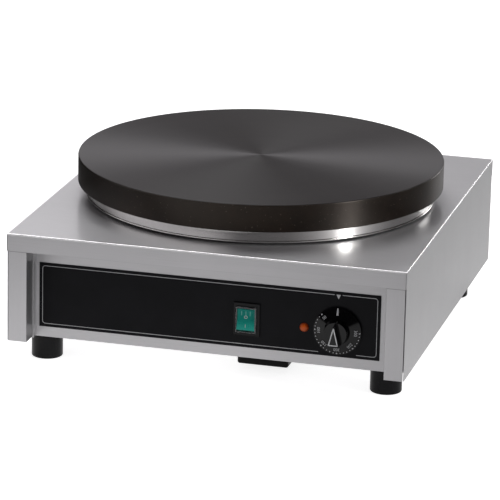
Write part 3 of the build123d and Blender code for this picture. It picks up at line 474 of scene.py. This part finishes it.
post_x = post_inner - post_reach
corners = [e for x, y in signs for e in form.edges if stands_at(e, x * post_x, y * post_front)]
round_edges(form, corners, post_fold, 4)
settle(
    casing,
    form,
    casing_steel,
    "chassis",
    "stainless_sheet",
    "top_casing",
    smooth=50,
    flat=large_face,
)
for edge in casing.data.edges:
    first, last = (casing.data.vertices[i].co for i in edge.vertices)
    if (first - last).length < fold_facet:
        edge.use_edge_sharp = True

# ------------------------------------------------------------------ panels and base
# Separate brushed sheets: the front panel set back between the posts and flanged
# forward at its ends, the louvred rear panel, and the vented plate that closes the casing
panel_steel = brushed("panel_steel", False)


def dress(material, *names):
    """Gives carried-over CAD nodes a finish."""
    for name in names:
        for slot in nodes[name].material_slots:
            slot.material = material


dress(panel_steel, "rear_panel", "base_plate")
panel_low, panel_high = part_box("front_panel")
flange_depth, flange_sheet, flange_bite, flange_rise = 0.0094, 0.0010, 0.0002, 0.001
panel, form = copy_of("front_panel", "front_panel_flanged")
for x in (-1, 1):
    for v in bmesh.ops.create_cube(form, size=1.0)["verts"]:
        v.co = Vector(
            (
                x * (post_x - flange_sheet if v.co.x < 0 else post_x),
                panel_low.y + (-flange_depth if v.co.y < 0 else flange_bite),
                panel_low.z + flange_rise if v.co.z < 0 else panel_high.z,
            )
        )
bmesh.ops.recalc_face_normals(form, faces=form.faces)
settle(panel, form, panel_steel, "chassis", "stainless_sheet", "front_panel", flat=large_face)

# ------------------------------------------------------------------ overlay
# A black polyester film stuck to the front panel, printed white from behind:
# a border line and the setting mark above the knob
label_low, label_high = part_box("fascia_label")
print_lift = 0.00006
border_inset = 0.0036
border_width = 0.00060
border_corner = 0.003
mark_x = 0.1369
mark_gap = 0.0043
knob_gap_left, knob_gap_right = 0.1166, 0.1573
mark_top, mark_height, mark_half = 0.1056, 0.0050, 0.0024

film, here = start_finish("overlay_film")
speckle = noise(here, 1400.0, 2.0, 0.6)
surface(
    here,
    Base_Color=noise(here, 30.0).shades((0.0043, 0.0043, 0.0056), (0.0063, 0.0063, 0.0080)),
    Roughness=0.34 + speckle * 0.10,
    Specular_IOR_Level=0.10,
    Normal=bump(speckle, 0.25, 0.00005),
)
dress(film, "fascia_label")

ink, here = start_finish("white_ink")
surface(
    here,
    Base_Color=noise(here, 900.0).shades((0.60, 0.61, 0.62), (0.72, 0.73, 0.74)),
    Roughness=0.45 + noise(here, 500.0) * 0.1,
)


class Growth:
    """A geometry node tree with named inputs, run on a mesh to make a plain mesh."""

    def __init__(self, name):
        self.tree = bpy.data.node_groups.new(name, "GeometryNodeTree")
        for way in ("INPUT", "OUTPUT"):
            self.tree.interface.new_socket(
                "Geometry", in_out=way, socket_type="NodeSocketGeometry"
            )
        self.inputs = self.tree.nodes.new("NodeGroupInput")
        self.result = self.tree.nodes.new("NodeGroupOutput")
        self.values = {}

    def size(self, name, value, kind="Float"):
        """A named input with its value; returns its socket."""
        kind = "NodeSocket" + kind
        made = self.tree.interface.new_socket(name, in_out="INPUT", socket_type=kind)
        self.values[made.identifier] = value
        return self.inputs.outputs[name]

    def node(self, kind, sockets=None, family="Geometry", **settings):
        """Adds a node with values, sockets or lists of them, and returns its first output."""
        made = self.tree.nodes.new(family + "Node" + kind)
        for name, value in settings.items():
            setattr(made, name, value)
        for name, value in (sockets or {}).items():
            if isinstance(value, bpy.types.NodeSocket):
                self.tree.links.new(value, made.inputs[name])
            elif isinstance(value, list):
                for one in reversed(value):
                    self.tree.links.new(one, made.inputs[name])
            else:
                made.inputs[name].default_value = value
        return made.outputs[0]

    def maths(self, operation, *values):
        return self.node("Math", dict(enumerate(values)), "Shader", operation=operation)

    def place(self, x=0.0, y=0.0, z=0.0):
        return self.node("CombineXYZ", {0: x, 1: y, 2: z}, "Shader")

    def made(self, name, geometry, material, vertices=(), edges=()):
        """Ends the tree, runs it on the given vertices and edges, and returns a plain object."""
        finish = self.size("Finish", material, "Material")
        whole = self.node("RealizeInstances", {0: geometry})
        dressed = self.node("SetMaterial", {"Geometry": whole, "Material": finish})
        self.tree.links.new(dressed, self.result.inputs[0])
        holder = blank(name)
        holder.data.from_pydata(list(vertices) or [(0, 0, 0)], list(edges), [])
        runner = holder.modifiers.new("grow", "NODES")
        runner.node_group = self.tree
        for identifier, value in self.values.items():
            runner[identifier] = value
        seed, shape = holder.data, evaluated(holder)
        holder.modifiers.remove(runner)
        holder.data = shape
        bpy.data.meshes.remove(seed)
        shape.name = name
        return holder


def line_print(name, points, edges, width, corner, thickness):
    """A printed line along corners that lie in the plane z = 0, as a plain object."""
    growth = Growth(name + "_tree")
    radius = growth.size("Corner radius", corner)
    wide = growth.size("Line width", width)
    thick = growth.size("Ink thickness", thickness)
    path = growth.node("MeshToCurve", {0: growth.inputs.outputs[0]})
    path = growth.node("FilletCurve", {"Curve": path, "Count": 6, "Radius": radius}, mode="POLY")
    path = growth.node("SetCurveNormal", {"Curve": path}, mode="Z_UP")
    section = growth.node(
        "CurvePrimitiveQuadrilateral", {"Width": wide, "Height": thick}, mode="RECTANGLE"
    )
    line = growth.node(
        "CurveToMesh", {"Curve": path, "Profile Curve": section, "Fill Caps": True}
    )
    return growth.made(name, line, ink, points, edges)


def stand_up(made, y):
    """Turns a print from the plane z = 0 to face the front at depth y: x stays, y becomes z."""
    made.data.transform(Matrix(((1, 0, 0, 0), (0, 0, -1, y), (0, 1, 0, 0), (0, 0, 0, 1))))


def push(form, face, vec):
    """Extrudes a face."""
    moved = bmesh.ops.extrude_face_region(form, geom=[face])["geom"]
    moved = [v for v in moved if isinstance(v, bmesh.types.BMVert)]
    bmesh.ops.translate(form, verts=moved, vec=vec)


left, right = label_low.x + border_inset, label_high.x - border_inset
bottom, top = label_low.z + border_inset, label_high.z - border_inset
border_points = [
    (mark_x - mark_gap, top, 0),
    (left, top, 0),
    (left, bottom, 0),
    (knob_gap_left, bottom, 0),
    (knob_gap_right, bottom, 0),
    (right, bottom, 0),
    (right, top, 0),
    (mark_x + mark_gap, top, 0),
]
border_edges = [(0, 1), (1, 2), (2, 3), (4, 5), (5, 6), (6, 7)]
border = line_print(
    "border_line", border_points, border_edges, border_width, border_corner, print_lift
)
stand_up(border, label_low.y - print_lift / 2)
settle(border, None, ink, "chassis", "overlay_film")

setting_mark = blank("setting_mark")
form = bmesh.new()
corners = [
    form.verts.new((mark_x + x, label_low.y - print_lift, mark_top + z))
    for x, z in ((-mark_half, 0), (mark_half, 0), (0, -mark_height))
]
push(form, form.faces.new(corners), (0, print_lift, 0))
bmesh.ops.recalc_face_normals(form, faces=form.faces)
settle(setting_mark, form, ink, "chassis", "overlay_film")

# ------------------------------------------------------------------ rocker switch
# A snap-in mains switch: glossy black nylon bezel, a clear splash frame clipped
# on it, and a translucent green rocker with printed O and I, tilting on a steel pin
rocker_low, rocker_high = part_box("rocker")
pivot_y, pivot_z = -0.1989, 0.069
rocker_tilt = math.radians(-8)
rocker_x = (rocker_low.x + rocker_high.x) / 2
rocker_half = 0.01085
rocker_valley, rocker_end = -0.0042, -0.0060
# Heights over which the rocker's painted lighter lower part fades out
painted_light_low, painted_light_high = 0.0575, 0.0715
rib_pitch, rib_up = 0.0046, 0.0066
moulded_angle = 0.6  # sharper edges of moulded pieces are rounded
fine_ink = 0.00005
on_face = 0.00001  # how far a print's back stands off its face


def nylon(name, colour, rough, grain, gloss=0.5):
    """Moulded black plastic with a fine spark-eroded grain."""
    material, here = start_finish(name)
    fine = noise(here, 1600.0, 2.0, 0.6)
    surface(
        here,
        Base_Color=noise(here, 60.0, 3.0).shades(scaled(colour, 0.8), colour),
        Roughness=rough + fine * 0.08,
        Specular_IOR_Level=gloss,
        Normal=bump(fine, grain, 0.00006),
    )
    return material


def softened(node, radius, segments):
    """A copy of a moulded CAD node with its edges rounded."""
    made, form = copy_of(node)
    crisp = [e for e in form.edges if e.is_manifold and e.calc_face_angle() > moulded_angle]
    round_edges(form, crisp, radius, segments)
    return made, form


gloss_nylon = nylon("gloss_nylon", (0.006, 0.006, 0.007), 0.16, 0.10, 0.16)
bezel, form = softened("switch_housing", 0.0003, 2)
settle(bezel, form, gloss_nylon, "chassis", "black_plastic", "switch_housing")

splash_clear, here = start_finish("splash_clear")
surface(
    here,
    Base_Color=noise(here, 200.0).shades((0.30, 0.31, 0.32), (0.42, 0.43, 0.44)),
    Roughness=0.05 + noise(here, 300.0) * 0.08,
    Specular_IOR_Level=0.25,
    Transmission_Weight=0.9,
    IOR=1.49,
)
splash, form = softened("switch_frame", 0.00035, 3)
settle(splash, form, splash_clear, "chassis", "clear_plastic", "switch_frame")

rocker_green, here = start_finish("rocker_green")
# Painted light: the rocker's lower part is coloured lighter, where its tilted lower half catches
# more light
painted_lower_light = 1.0 - here.axis(2).step(painted_light_low, painted_light_high)
unevenness = (noise(here, 180.0, 3.0) - 0.5) * 0.35
surface(
    here,
    Base_Color=(painted_lower_light + unevenness).tint((0.0, 0.25, 0.20), (0.02, 0.40, 0.32)),
    Roughness=0.24 + noise(here, 700.0) * 0.08,
    Specular_IOR_Level=0.2,
)
green_rocker, form = softened("rocker", 0.0003, 2)
settle(green_rocker, form, rocker_green, "rocker", "rocker_green", "rocker", smooth=40)


def on_rocker(made, lift):
    """Lays a flat print on the rocker's V-shaped face. Its x and y run across and up it."""
    rise = (rocker_end - rocker_valley) / rocker_half
    for v in made.data.vertices:
        across, up, out = v.co
        depth = rocker_valley + rise * abs(up) - (out + lift)
        v.co = (
            rocker_x + across,
            pivot_y + depth * math.cos(rocker_tilt) - up * math.sin(rocker_tilt),
            pivot_z + depth * math.sin(rocker_tilt) + up * math.cos(rocker_tilt),
        )


growth = Growth("rocker_rib_tree")
rib_count = growth.size("Ribs", 3, "Int")
pitch = growth.size("Pitch", rib_pitch)
rib_size = growth.place(
    growth.size("Width", 0.0007), growth.size("Length", 0.0048), growth.size("Height", 0.0005)
)
bar = growth.node(
    "MeshCube", {"Size": rib_size, "Vertices X": 2, "Vertices Y": 7, "Vertices Z": 2}
)
first_rib = (-rib_pitch, rib_up, 0.0)
row = growth.node(
    "MeshLine", {"Count": rib_count, "Offset": growth.place(pitch), "Start Location": first_rib}
)
ribs = growth.node("InstanceOnPoints", {"Points": row, "Instance": bar})
# The ribs are coloured lighter than the rocker they are moulded on: a painted highlight along them
rib_highlight_green, here = start_finish("rib_highlight_green")
surface(
    here,
    Base_Color=noise(here, 300.0).shades((0.09, 0.44, 0.37), (0.14, 0.52, 0.44)),
    Roughness=0.24 + noise(here, 700.0) * 0.08,
)
rocker_ribs = growth.made("rocker_ribs", ribs, rib_highlight_green)
on_rocker(rocker_ribs, 0.0)
settle(rocker_ribs, None, rib_highlight_green, "rocker", "rocker_green")


def lettering(text, height, thickness, name):
    """A number or sign as a flat mesh centred on the origin in the plane z = 0."""
    cap_share = 0.7
    data = bpy.data.curves.new(name, "FONT")
    data.body = text
    data.size = height / cap_share
    data.align_x, data.align_y = "CENTER", "CENTER"
    data.extrude = thickness / 2
    data.resolution_u = 4
    written = bpy.data.objects.new(name, data)
    scene.collection.objects.link(written)
    shape = evaluated(written)
    bpy.data.objects.remove(written)
    form = bmesh.new()
    form.from_mesh(shape)
    bmesh.ops.remove_doubles(form, verts=form.verts, dist=1e-7)
    low = Vector(min(v.co[i] for v in form.verts) for i in range(3))
    high = Vector(max(v.co[i] for v in form.verts) for i in range(3))
    middle = (low + high) / 2
    bmesh.ops.translate(form, verts=form.verts, vec=(-middle.x, -middle.y, thickness / 2))
    form.to_mesh(shape)
    form.free()
    return shape


def joined(name, shapes):
    """One object from several placed meshes."""
    form = bmesh.new()
    for shape in shapes:
        form.from_mesh(shape)
        bpy.data.meshes.remove(shape)
    made = blank(name)
    fill(made, form)
    return made


rocker_signs = []
for sign, up in (("O", 0.0026), ("I", -0.0068)):
    shape = lettering(sign, 0.0034, fine_ink, "rocker_sign")
    shape.transform(Matrix.Translation((0, up, 0)))
    rocker_signs.append(shape)
rocker_print = joined("rocker_signs", rocker_signs)
on_rocker(rocker_print, on_face)
settle(rocker_print, None, ink, "rocker", "rocker_green")

polished_pin, here = start_finish("bright_pin_steel")
surface(
    here,
    Base_Color=noise(here, 400.0).shades((0.45, 0.45, 0.46), (0.56, 0.56, 0.57)),
    Metallic=1.0,
    Roughness=0.22 + noise(here, 900.0) * 0.12,
)
dress(polished_pin, "rocker_pin")

# ------------------------------------------------------------------ signal lamp
# A neon indicator with a faceted amber lens, pushed in from the front
lens_low, lens_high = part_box("lamp_lens")
lens_x, lens_z = (lens_low.x + lens_high.x) / 2, (lens_low.z + lens_high.z) / 2
lens_radius = (lens_high.x - lens_low.x) / 2
stem_radius = 0.0042
lens_facets = 14
# The lens's bright middle is a painted glow in its colour; no light is given off
painted_glow_edge = (0.0022, 0.0062)  # the lit middle fades between these radii
# Rings of corners from the lip out: radius, how far they stand out, turn in facets
lens_profile = (
    (lens_radius, 0.0, 0.0),
    (lens_radius, 0.0009, 0.0),
    (lens_radius * 0.80, 0.0022, 0.5),
    (lens_radius * 0.48, 0.0031, 0.0),
)

amber, here = start_finish("amber_lens")
# Painted glow: the lens is coloured bright orange in its middle, fading to dark amber
off_axis = here.vectors("DISTANCE", (lens_x, label_low.y, lens_z), out=1)
middle = 1.0 - off_axis.step(*painted_glow_edge)
painted_glow = (middle * 0.75 + noise(here, 420.0, 2.0) * 0.35).step(0.15, 0.9)
surface(
    here,
    Base_Color=painted_glow.tint((0.11, 0.006, 0.0), (1.0, 0.155, 0.008)),
    Roughness=0.12 + noise(here, 500.0) * 0.06,
    Specular_IOR_Level=0.22,
    Transmission_Weight=0.15,
    IOR=1.5,
)
form = bmesh.new()
rings = []
for radius, out, shift in lens_profile:
    angles = [2 * math.pi * (i + shift) / lens_facets for i in range(lens_facets)]
    rings.append(
        [
            form.verts.new(
                (lens_x + radius * math.cos(a), label_low.y - out, lens_z + radius * math.sin(a))
            )
            for a in angles
        ]
    )
tip = form.verts.new((lens_x, lens_low.y, lens_z))
lip, wall, crown, table = rings
for i in range(lens_facets):
    j = (i + 1) % lens_facets
    form.faces.new((lip[i], lip[j], wall[j], wall[i]))
    form.faces.new((wall[i], wall[j], crown[i]))
    form.faces.new((wall[j], crown[j], crown[i]))
    form.faces.new((crown[i], crown[j], table[j]))
    form.faces.new((crown[i], table[j], table[i]))
    form.faces.new((table[i], table[j], tip))
back = form.faces.new(lip)
bmesh.ops.inset_region(form, faces=[back], thickness=lens_radius - stem_radius)
push(form, back, (0, lens_high.y - label_low.y, 0))
bmesh.ops.delete(form, geom=[back], context="FACES_ONLY")
bmesh.ops.recalc_face_normals(form, faces=form.faces)
lens = blank("lamp_lens_faceted")
settle(lens, form, amber, "chassis", "lens_amber", "lamp_lens", smooth=8)

# ------------------------------------------------------------------ knob
# A moulded glossy thermostat knob: a conical skirt, a hub and a wedge grip with a
# printed outline. Numbers and dots are pad printed on the skirt
knob_low, knob_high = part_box("knob")
knob_x, knob_z = (knob_low.x + knob_high.x) / 2, (knob_low.z + knob_high.z) / 2
skirt_radius = (knob_high.x - knob_low.x) / 2
skirt_edge_y = -0.2019
skirt_slope = 0.0023 / 0.0115
dots_per_number = 5.0
number_ring, number_height = 0.0198, 0.0032
mark_foot, mark_head = 0.0178, 0.0252
mark_foot_half, mark_head_half = 0.00115, 0.00055
dot_lift, off_lift = 0.00003, 0.00002

knob_gloss = nylon("knob_gloss", (0.003, 0.003, 0.0035), 0.03, 0.02, 0.27)
turned_knob, form = softened("knob", 0.0004, 3)
settle(turned_knob, form, knob_gloss, "knob", "knob_black", "knob")


def on_skirt(made, lift):
    """Lays a flat print, centred on the shaft with z as its thickness, on the skirt's cone."""
    for v in made.data.vertices:
        across, up, out = v.co
        rise = (skirt_radius - math.hypot(across, up)) * skirt_slope
        v.co = (knob_x + across, skirt_edge_y - rise - out - lift, knob_z + up)


growth = Growth("dial_dot_tree")
dot_count = growth.size("Dots", 26, "Int")
dot_first = growth.size("First angle", math.radians(135))
dot_step = growth.size("Step angle", math.radians(9))
dot_ring = growth.size("Dot circle radius", 0.0240)
dot_radius = growth.size("Dot radius", 0.00055)
dot_grown = growth.size("Numbered dot radius", 0.00080)
dot_ink = growth.size("Ink thickness", fine_ink)
places = growth.node("MeshLine", {"Count": dot_count, "Offset": (0.0, 0.0, 0.0)})
index = growth.node("InputIndex")
angle = growth.maths("ADD", dot_first, growth.maths("MULTIPLY", index, dot_step))
spot = growth.place(
    growth.maths("MULTIPLY", dot_ring, growth.maths("COSINE", angle)),
    growth.maths("MULTIPLY", dot_ring, growth.maths("SINE", angle)),
)
placed = growth.node("SetPosition", {"Geometry": places, "Position": spot})
numbered = growth.maths("LESS_THAN", growth.maths("MODULO", index, dots_per_number), 0.5)
spread = growth.node(
    "Mix", {0: numbered, 2: dot_radius, 3: dot_grown}, "Shader", data_type="FLOAT"
)
dot = growth.node(
    "MeshCylinder", {"Vertices": 12, "Radius": 1.0, "Depth": dot_ink}, fill_type="NGON"
)
dot_scale = growth.place(spread, spread, 1.0)
dots = growth.node("InstanceOnPoints", {"Points": placed, "Instance": dot, "Scale": dot_scale})
dial_dots = growth.made("dial_dots", dots, ink)
on_skirt(dial_dots, dot_lift)
settle(dial_dots, None, ink, "knob", "knob_black")

numbers = []
for text, turn in (("50", 45), ("100", 90), ("150", 135), ("200", 180), ("250", 225), ("300", 270)):
    shape = lettering(text, number_height, fine_ink, "dial_number")
    turned = Matrix.Rotation(math.radians(turn), 4, "Z")
    shape.transform(turned @ Matrix.Translation((0, number_ring, 0)))
    numbers.append(shape)
dial_numbers = joined("dial_numbers", numbers)
on_skirt(dial_numbers, on_face)
settle(dial_numbers, None, ink, "knob", "knob_black")

off_mark = blank("off_mark")
form = bmesh.new()
for lift in (0.0, fine_ink):
    for x, up in (
        (-mark_foot_half, mark_foot),
        (mark_foot_half, mark_foot),
        (mark_head_half, mark_head),
        (-mark_head_half, mark_head),
    ):
        form.verts.new((x, up, lift))
form.verts.ensure_lookup_table()
for corners in ((3, 2, 1, 0), (4, 5, 6, 7), (0, 1, 5, 4), (1, 2, 6, 5), (2, 3, 7, 6), (3, 0, 4, 7)):
    form.faces.new([form.verts[i] for i in corners])
bmesh.ops.subdivide_edges(form, edges=form.edges, cuts=3, use_grid_fill=True)
bmesh.ops.recalc_face_normals(form, faces=form.faces)
fill(off_mark, form)
on_skirt(off_mark, off_lift)
settle(off_mark, None, ink, "knob", "knob_black")

grip_points = [(-0.00475, -0.0098, 0), (0.00475, -0.0098, 0), (0.0, 0.0090, 0)]
grip_edges = [(0, 1), (1, 2), (2, 0)]
grip_line = line_print("grip_outline", grip_points, grip_edges, 0.0011, 0.0002, print_lift)
stand_up(grip_line, knob_low.y - on_face)
grip_line.data.transform(Matrix.Translation((knob_x, 0, knob_z)))
settle(grip_line, None, ink, "knob", "knob_black")

spring_steel, here = start_finish("spring_steel")
surface(
    here,
    Base_Color=noise(here, 300.0).shades((0.30, 0.30, 0.31), (0.42, 0.42, 0.43)),
    Metallic=1.0,
    Roughness=0.3 + noise(here, 700.0) * 0.1,
)
dress(spring_steel, "knob_clip", "bulb_clip", "lamp_clip")

# ------------------------------------------------------------------ griddle plate
# A thick cast-iron plate: the cooking face is turned in fine rings and burnished
# brown-grey, and the rim and underside keep their black heat-proof coat
plate_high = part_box("griddle_plate")[1]
turned_level = plate_high.z - 0.0005
steepest_turned = 0.7  # the rim's faces have less of their normal upright than this

iron, here = start_finish("griddle_iron")
radius = here.vectors("MULTIPLY", (1.0, 1.0, 0.0)).vectors("LENGTH", out=1)
rings = noise(here.node("CombineXYZ", {0: radius}), 1300.0, 3.0, 0.7)
bands = noise(here.node("CombineXYZ", {0: radius, 1: 0.4}), 70.0, 2.0, 0.5)
cloud = noise(here, 14.0, 3.0, 0.6)
sand = noise(here, 1100.0, 3.0, 0.7)
burnish = bands * 0.5 + cloud * 0.5
surface(
    here,
    Base_Color=burnish.shades((0.0066, 0.0042, 0.0038), (0.0115, 0.0080, 0.0078)),
    Roughness=0.36 + rings * 0.10,
    Specular_IOR_Level=0.26,
    Anisotropic=0.86,
    Anisotropic_Rotation=0.25,
    Normal=bump(rings * 0.8 + sand * 0.2, 0.14, 0.0001),
)

rim_black, here = start_finish("rim_black")
cloud = noise(here, 38.0, 4.0, 0.65)
fine = noise(here, 900.0, 3.0, 0.6)
specks = noise(here, 520.0, 1.0, 0.5).step(0.72, 0.76)
coat_colour = cloud.shades((0.0030, 0.0016, 0.0008), (0.0090, 0.0050, 0.0030))
surface(
    here,
    Base_Color=specks.tint(coat_colour, (0.10, 0.08, 0.065)),
    Roughness=0.30 + fine * 0.10 + cloud * 0.08,
    Specular_IOR_Level=0.52,
    Specular_Tint=(1.0, 0.88, 0.78, 1.0),
    Anisotropic=0.86,
    Anisotropic_Rotation=0.25,
    Normal=bump(fine, 0.16, 0.00012),
)

plate, form = copy_of("griddle_plate")
settle(plate, form, iron, "chassis", "griddle_iron", "griddle_plate")
plate.data.materials.append(rim_black)
for face in plate.data.polygons:
    if face.center.z < turned_level or abs(face.normal.z) < steepest_turned:
        face.material_index = 1

# ------------------------------------------------------------------ collar
# A spun stainless collar under the plate, turned bright, with a rolled bead at its foot
collar, here = start_finish("polished_collar")
lines = noise(here.node("CombineXYZ", {2: here.axis(2)}), 2600.0, 3.0, 0.7)
cloud = noise(here, 16.0, 2.0, 0.5)
surface(
    here,
    Base_Color=(lines * 0.5 + cloud * 0.5).shades((0.68, 0.665, 0.645), (0.76, 0.745, 0.725)),
    Metallic=1.0,
    Roughness=0.13 + lines * 0.07,
    Anisotropic=0.6,
    Anisotropic_Rotation=0.25,
    Normal=bump(lines, 0.08, 0.00008),
)
ring, form = copy_of("skirt_ring")
settle(ring, form, collar, "chassis", "polished_collar", "skirt_ring", smooth=40)


# ------------------------------------------------------------------ inside the griddle
# Under the plate: a pressed tray, a disc of mineral board, studs with spacer sleeves
# and nuts, the tubular element in its clamps, and the thermostat's bulb
def mottled(name, dark, light, scale, rough, metallic=0.0, grain=0.2):
    """A plain works finish: colour clouds, uneven gloss and a fine grain."""
    material, here = start_finish(name)
    cloud = noise(here, scale, 4.0, 0.6)
    fine = noise(here, scale * 12.0, 2.0, 0.6)
    surface(
        here,
        Base_Color=(cloud * 0.7 + fine * 0.3).shades(dark, light),
        Metallic=metallic,
        Roughness=rough + cloud * 0.12,
        Normal=bump(fine, grain, 0.0002),
    )
    return material


zinc = mottled("bright_zinc", (0.42, 0.43, 0.46), (0.60, 0.61, 0.63), 260.0, 0.26, 1.0)
tray_steel = mottled("tray_steel", (0.40, 0.40, 0.41), (0.55, 0.55, 0.56), 40.0, 0.34, 1.0)
board = mottled("mineral_board", (0.42, 0.38, 0.30), (0.62, 0.58, 0.49), 180.0, 0.85, 0.0, 0.6)
sheath_dark, sheath_light = (0.055, 0.050, 0.046), (0.115, 0.105, 0.095)
sheath = mottled("element_sheath", sheath_dark, sheath_light, 120.0, 0.48, 0.8)
copper = mottled("copper_tube", (0.50, 0.22, 0.12), (0.70, 0.34, 0.20), 150.0, 0.28, 1.0)
dress(tray_steel, "heat_tray", "element_clamps")
dress(board, "insulation_disc")
dress(zinc, "plate_studs", "stud_sleeves", "stud_washers", "stud_nuts", "clamp_bolts")
dress(sheath, "heating_element")
dress(copper, "thermostat_bulb")

# ------------------------------------------------------------------ feet
# Black moulded rubber feet, each with a screw through its pocket and a nut inside
rubber = nylon("foot_rubber", (0.005, 0.005, 0.006), 0.14, 0.06, 0.16)
dress(rubber, "foot_front_left", "foot_front_right", "foot_rear_left", "foot_rear_right")
dress(zinc, "foot_screws", "foot_nuts")

# ------------------------------------------------------------------ base screws
# Zinc-plated pan-head screws with a cross recess hold the base plate and both panels
screws_low, screws_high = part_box("base_screws")
head_radius, head_height = 0.004, 0.002
shank_radius, shank_length = 0.002, 0.006
head_foot_share, head_taper = 0.45, 0.74
shank_middle = 0.499  # less than half its length, so that it reaches into the head
recess_width, recess_length, recess_depth = 0.0009, 0.0044, 0.0012
flange_screw_x, side_screw_y = 0.15, 0.12
side_x = screws_high.x - head_radius
flange_y = screws_high.y - head_radius
flange_heads_z = screws_low.z
side_heads_z = screws_high.z - shank_length - head_height
screw_places = [
    (x, y, flange_heads_z)
    for x in (-flange_screw_x, 0.0, flange_screw_x)
    for y in (-flange_y, flange_y)
]
screw_places += [
    (x, y, side_heads_z) for x in (-side_x, side_x) for y in (-side_screw_y, side_screw_y)
]

growth = Growth("pan_screw_tree")
head_r = growth.size("Head radius", head_radius)
head_h = growth.size("Head height", head_height)
shank_r = growth.size("Shank radius", shank_radius)
shank_l = growth.size("Shank length", shank_length)
slot_w = growth.size("Recess width", recess_width)
slot_l = growth.size("Recess length", recess_length)
slot_d = growth.size("Recess depth", recess_depth)


def share(length, part):
    """A part of one of the screw's lengths."""
    return growth.maths("MULTIPLY", length, part)


def raised(geometry, z):
    lift = growth.place(z=z)
    return growth.node("Transform", {"Geometry": geometry, "Translation": lift})


lower = growth.node(
    "MeshCone",
    {
        "Vertices": 28,
        "Radius Top": head_r,
        "Radius Bottom": share(head_r, head_taper),
        "Depth": share(head_h, head_foot_share),
    },
    fill_type="NGON",
)
upper_h = share(head_h, 1.0 - head_foot_share)
upper = growth.node(
    "MeshCylinder", {"Vertices": 28, "Radius": head_r, "Depth": upper_h}, fill_type="NGON"
)
upper = raised(upper, share(head_h, (1.0 + head_foot_share) / 2))
shank = growth.node(
    "MeshCylinder", {"Vertices": 20, "Radius": shank_r, "Depth": shank_l}, fill_type="NGON"
)
shank = raised(shank, growth.maths("ADD", head_h, share(shank_l, shank_middle)))
head = growth.node("MeshBoolean", {"Mesh": [lower, upper]}, operation="UNION")
slots = [
    growth.node("MeshCube", {"Size": growth.place(x, y, share(slot_d, 2.0))})
    for x, y in ((slot_l, slot_w), (slot_w, slot_l))
]
head = growth.node("MeshBoolean", {"Mesh 1": head, "Mesh 2": slots}, operation="DIFFERENCE")
screw = growth.node("JoinGeometry", {"Geometry": [head, shank]})
points = growth.node("MeshToPoints", {"Mesh": growth.inputs.outputs[0]})
fixed = growth.node("InstanceOnPoints", {"Points": points, "Instance": screw})
base_screws = growth.made("base_screws_cross", fixed, zinc, screw_places)
settle(base_screws, None, zinc, "chassis", "zinc_steel", "base_screws")

# ------------------------------------------------------------------ terminal cover
# A moulded black cover under the base for the supply terminals, with its two screws,
# and the ceramic block inside it
cover_nylon = nylon("cover_nylon", (0.004, 0.004, 0.004), 0.30, 0.2, 0.12)
ceramic = mottled("block_ceramic", (0.58, 0.56, 0.50), (0.70, 0.68, 0.62), 120.0, 0.42)
brass = mottled("contact_brass", (0.52, 0.38, 0.14), (0.70, 0.54, 0.24), 300.0, 0.28, 1.0)
dress(cover_nylon, "terminal_cover")
dress(zinc, "terminal_cover_screws")
dress(ceramic, "terminal_block")
dress(brass, "terminal_screws", "switch_terminals")

# ------------------------------------------------------------------ thermostat and lamp bodies
# Inside the control bay: the phenolic thermostat body with its D shaft and screws,
# and the lamp's body held by its spring clip
phenolic = mottled("phenolic", (0.014, 0.012, 0.011), (0.030, 0.026, 0.023), 110.0, 0.40)
dress(phenolic, "thermostat_body", "lamp_body")
dress(zinc, "thermostat_screws", "thermostat_shaft")


# ------------------------------------------------------------------ leads
# Stranded wires in woven glass and silicone sleeves, the earth in green and yellow
def sleeve(name, first, second, stripe=0.5):
    """A sleeve with a fine weave; stripe is how much of it the second colour covers."""
    material, here = start_finish(name)
    weave = here.node("TexWave", {"Vector": here, "Scale": 420.0, "Distortion": 2.0}, 1)
    bands = here.node("TexWave", {"Vector": here, "Scale": 95.0}, 1, bands_direction="DIAGONAL")
    striped = bands.step(1.0 - stripe, 1.02 - stripe)
    surface(
        here,
        Base_Color=(striped * 0.85 + noise(here, 90.0, 3.0) * 0.15).tint(first, second),
        Roughness=0.55 + weave * 0.15,
        Normal=bump(weave, 0.3, 0.0001),
    )
    return material


white_sleeve = sleeve("lead_sleeve", (0.62, 0.60, 0.55), (0.70, 0.68, 0.62))
earth_sleeve = sleeve("earth_sleeve", (0.02, 0.22, 0.04), (0.72, 0.58, 0.03))
dress(white_sleeve, "supply_leads", "element_leads", "lamp_leads")
dress(earth_sleeve, "earth_lead")

# ------------------------------------------------------------------ cable gland and bonding stud
# At the back: a grey-black nylon gland with its locknut inside, and a zinc-plated
# stud with washer and nut for the bonding lead
gland_nylon = nylon("gland_nylon", (0.028, 0.028, 0.029), 0.34, 0.3)
dress(gland_nylon, "cable_gland", "gland_locknut")
dress(zinc, "bonding_stud", "bonding_nut")
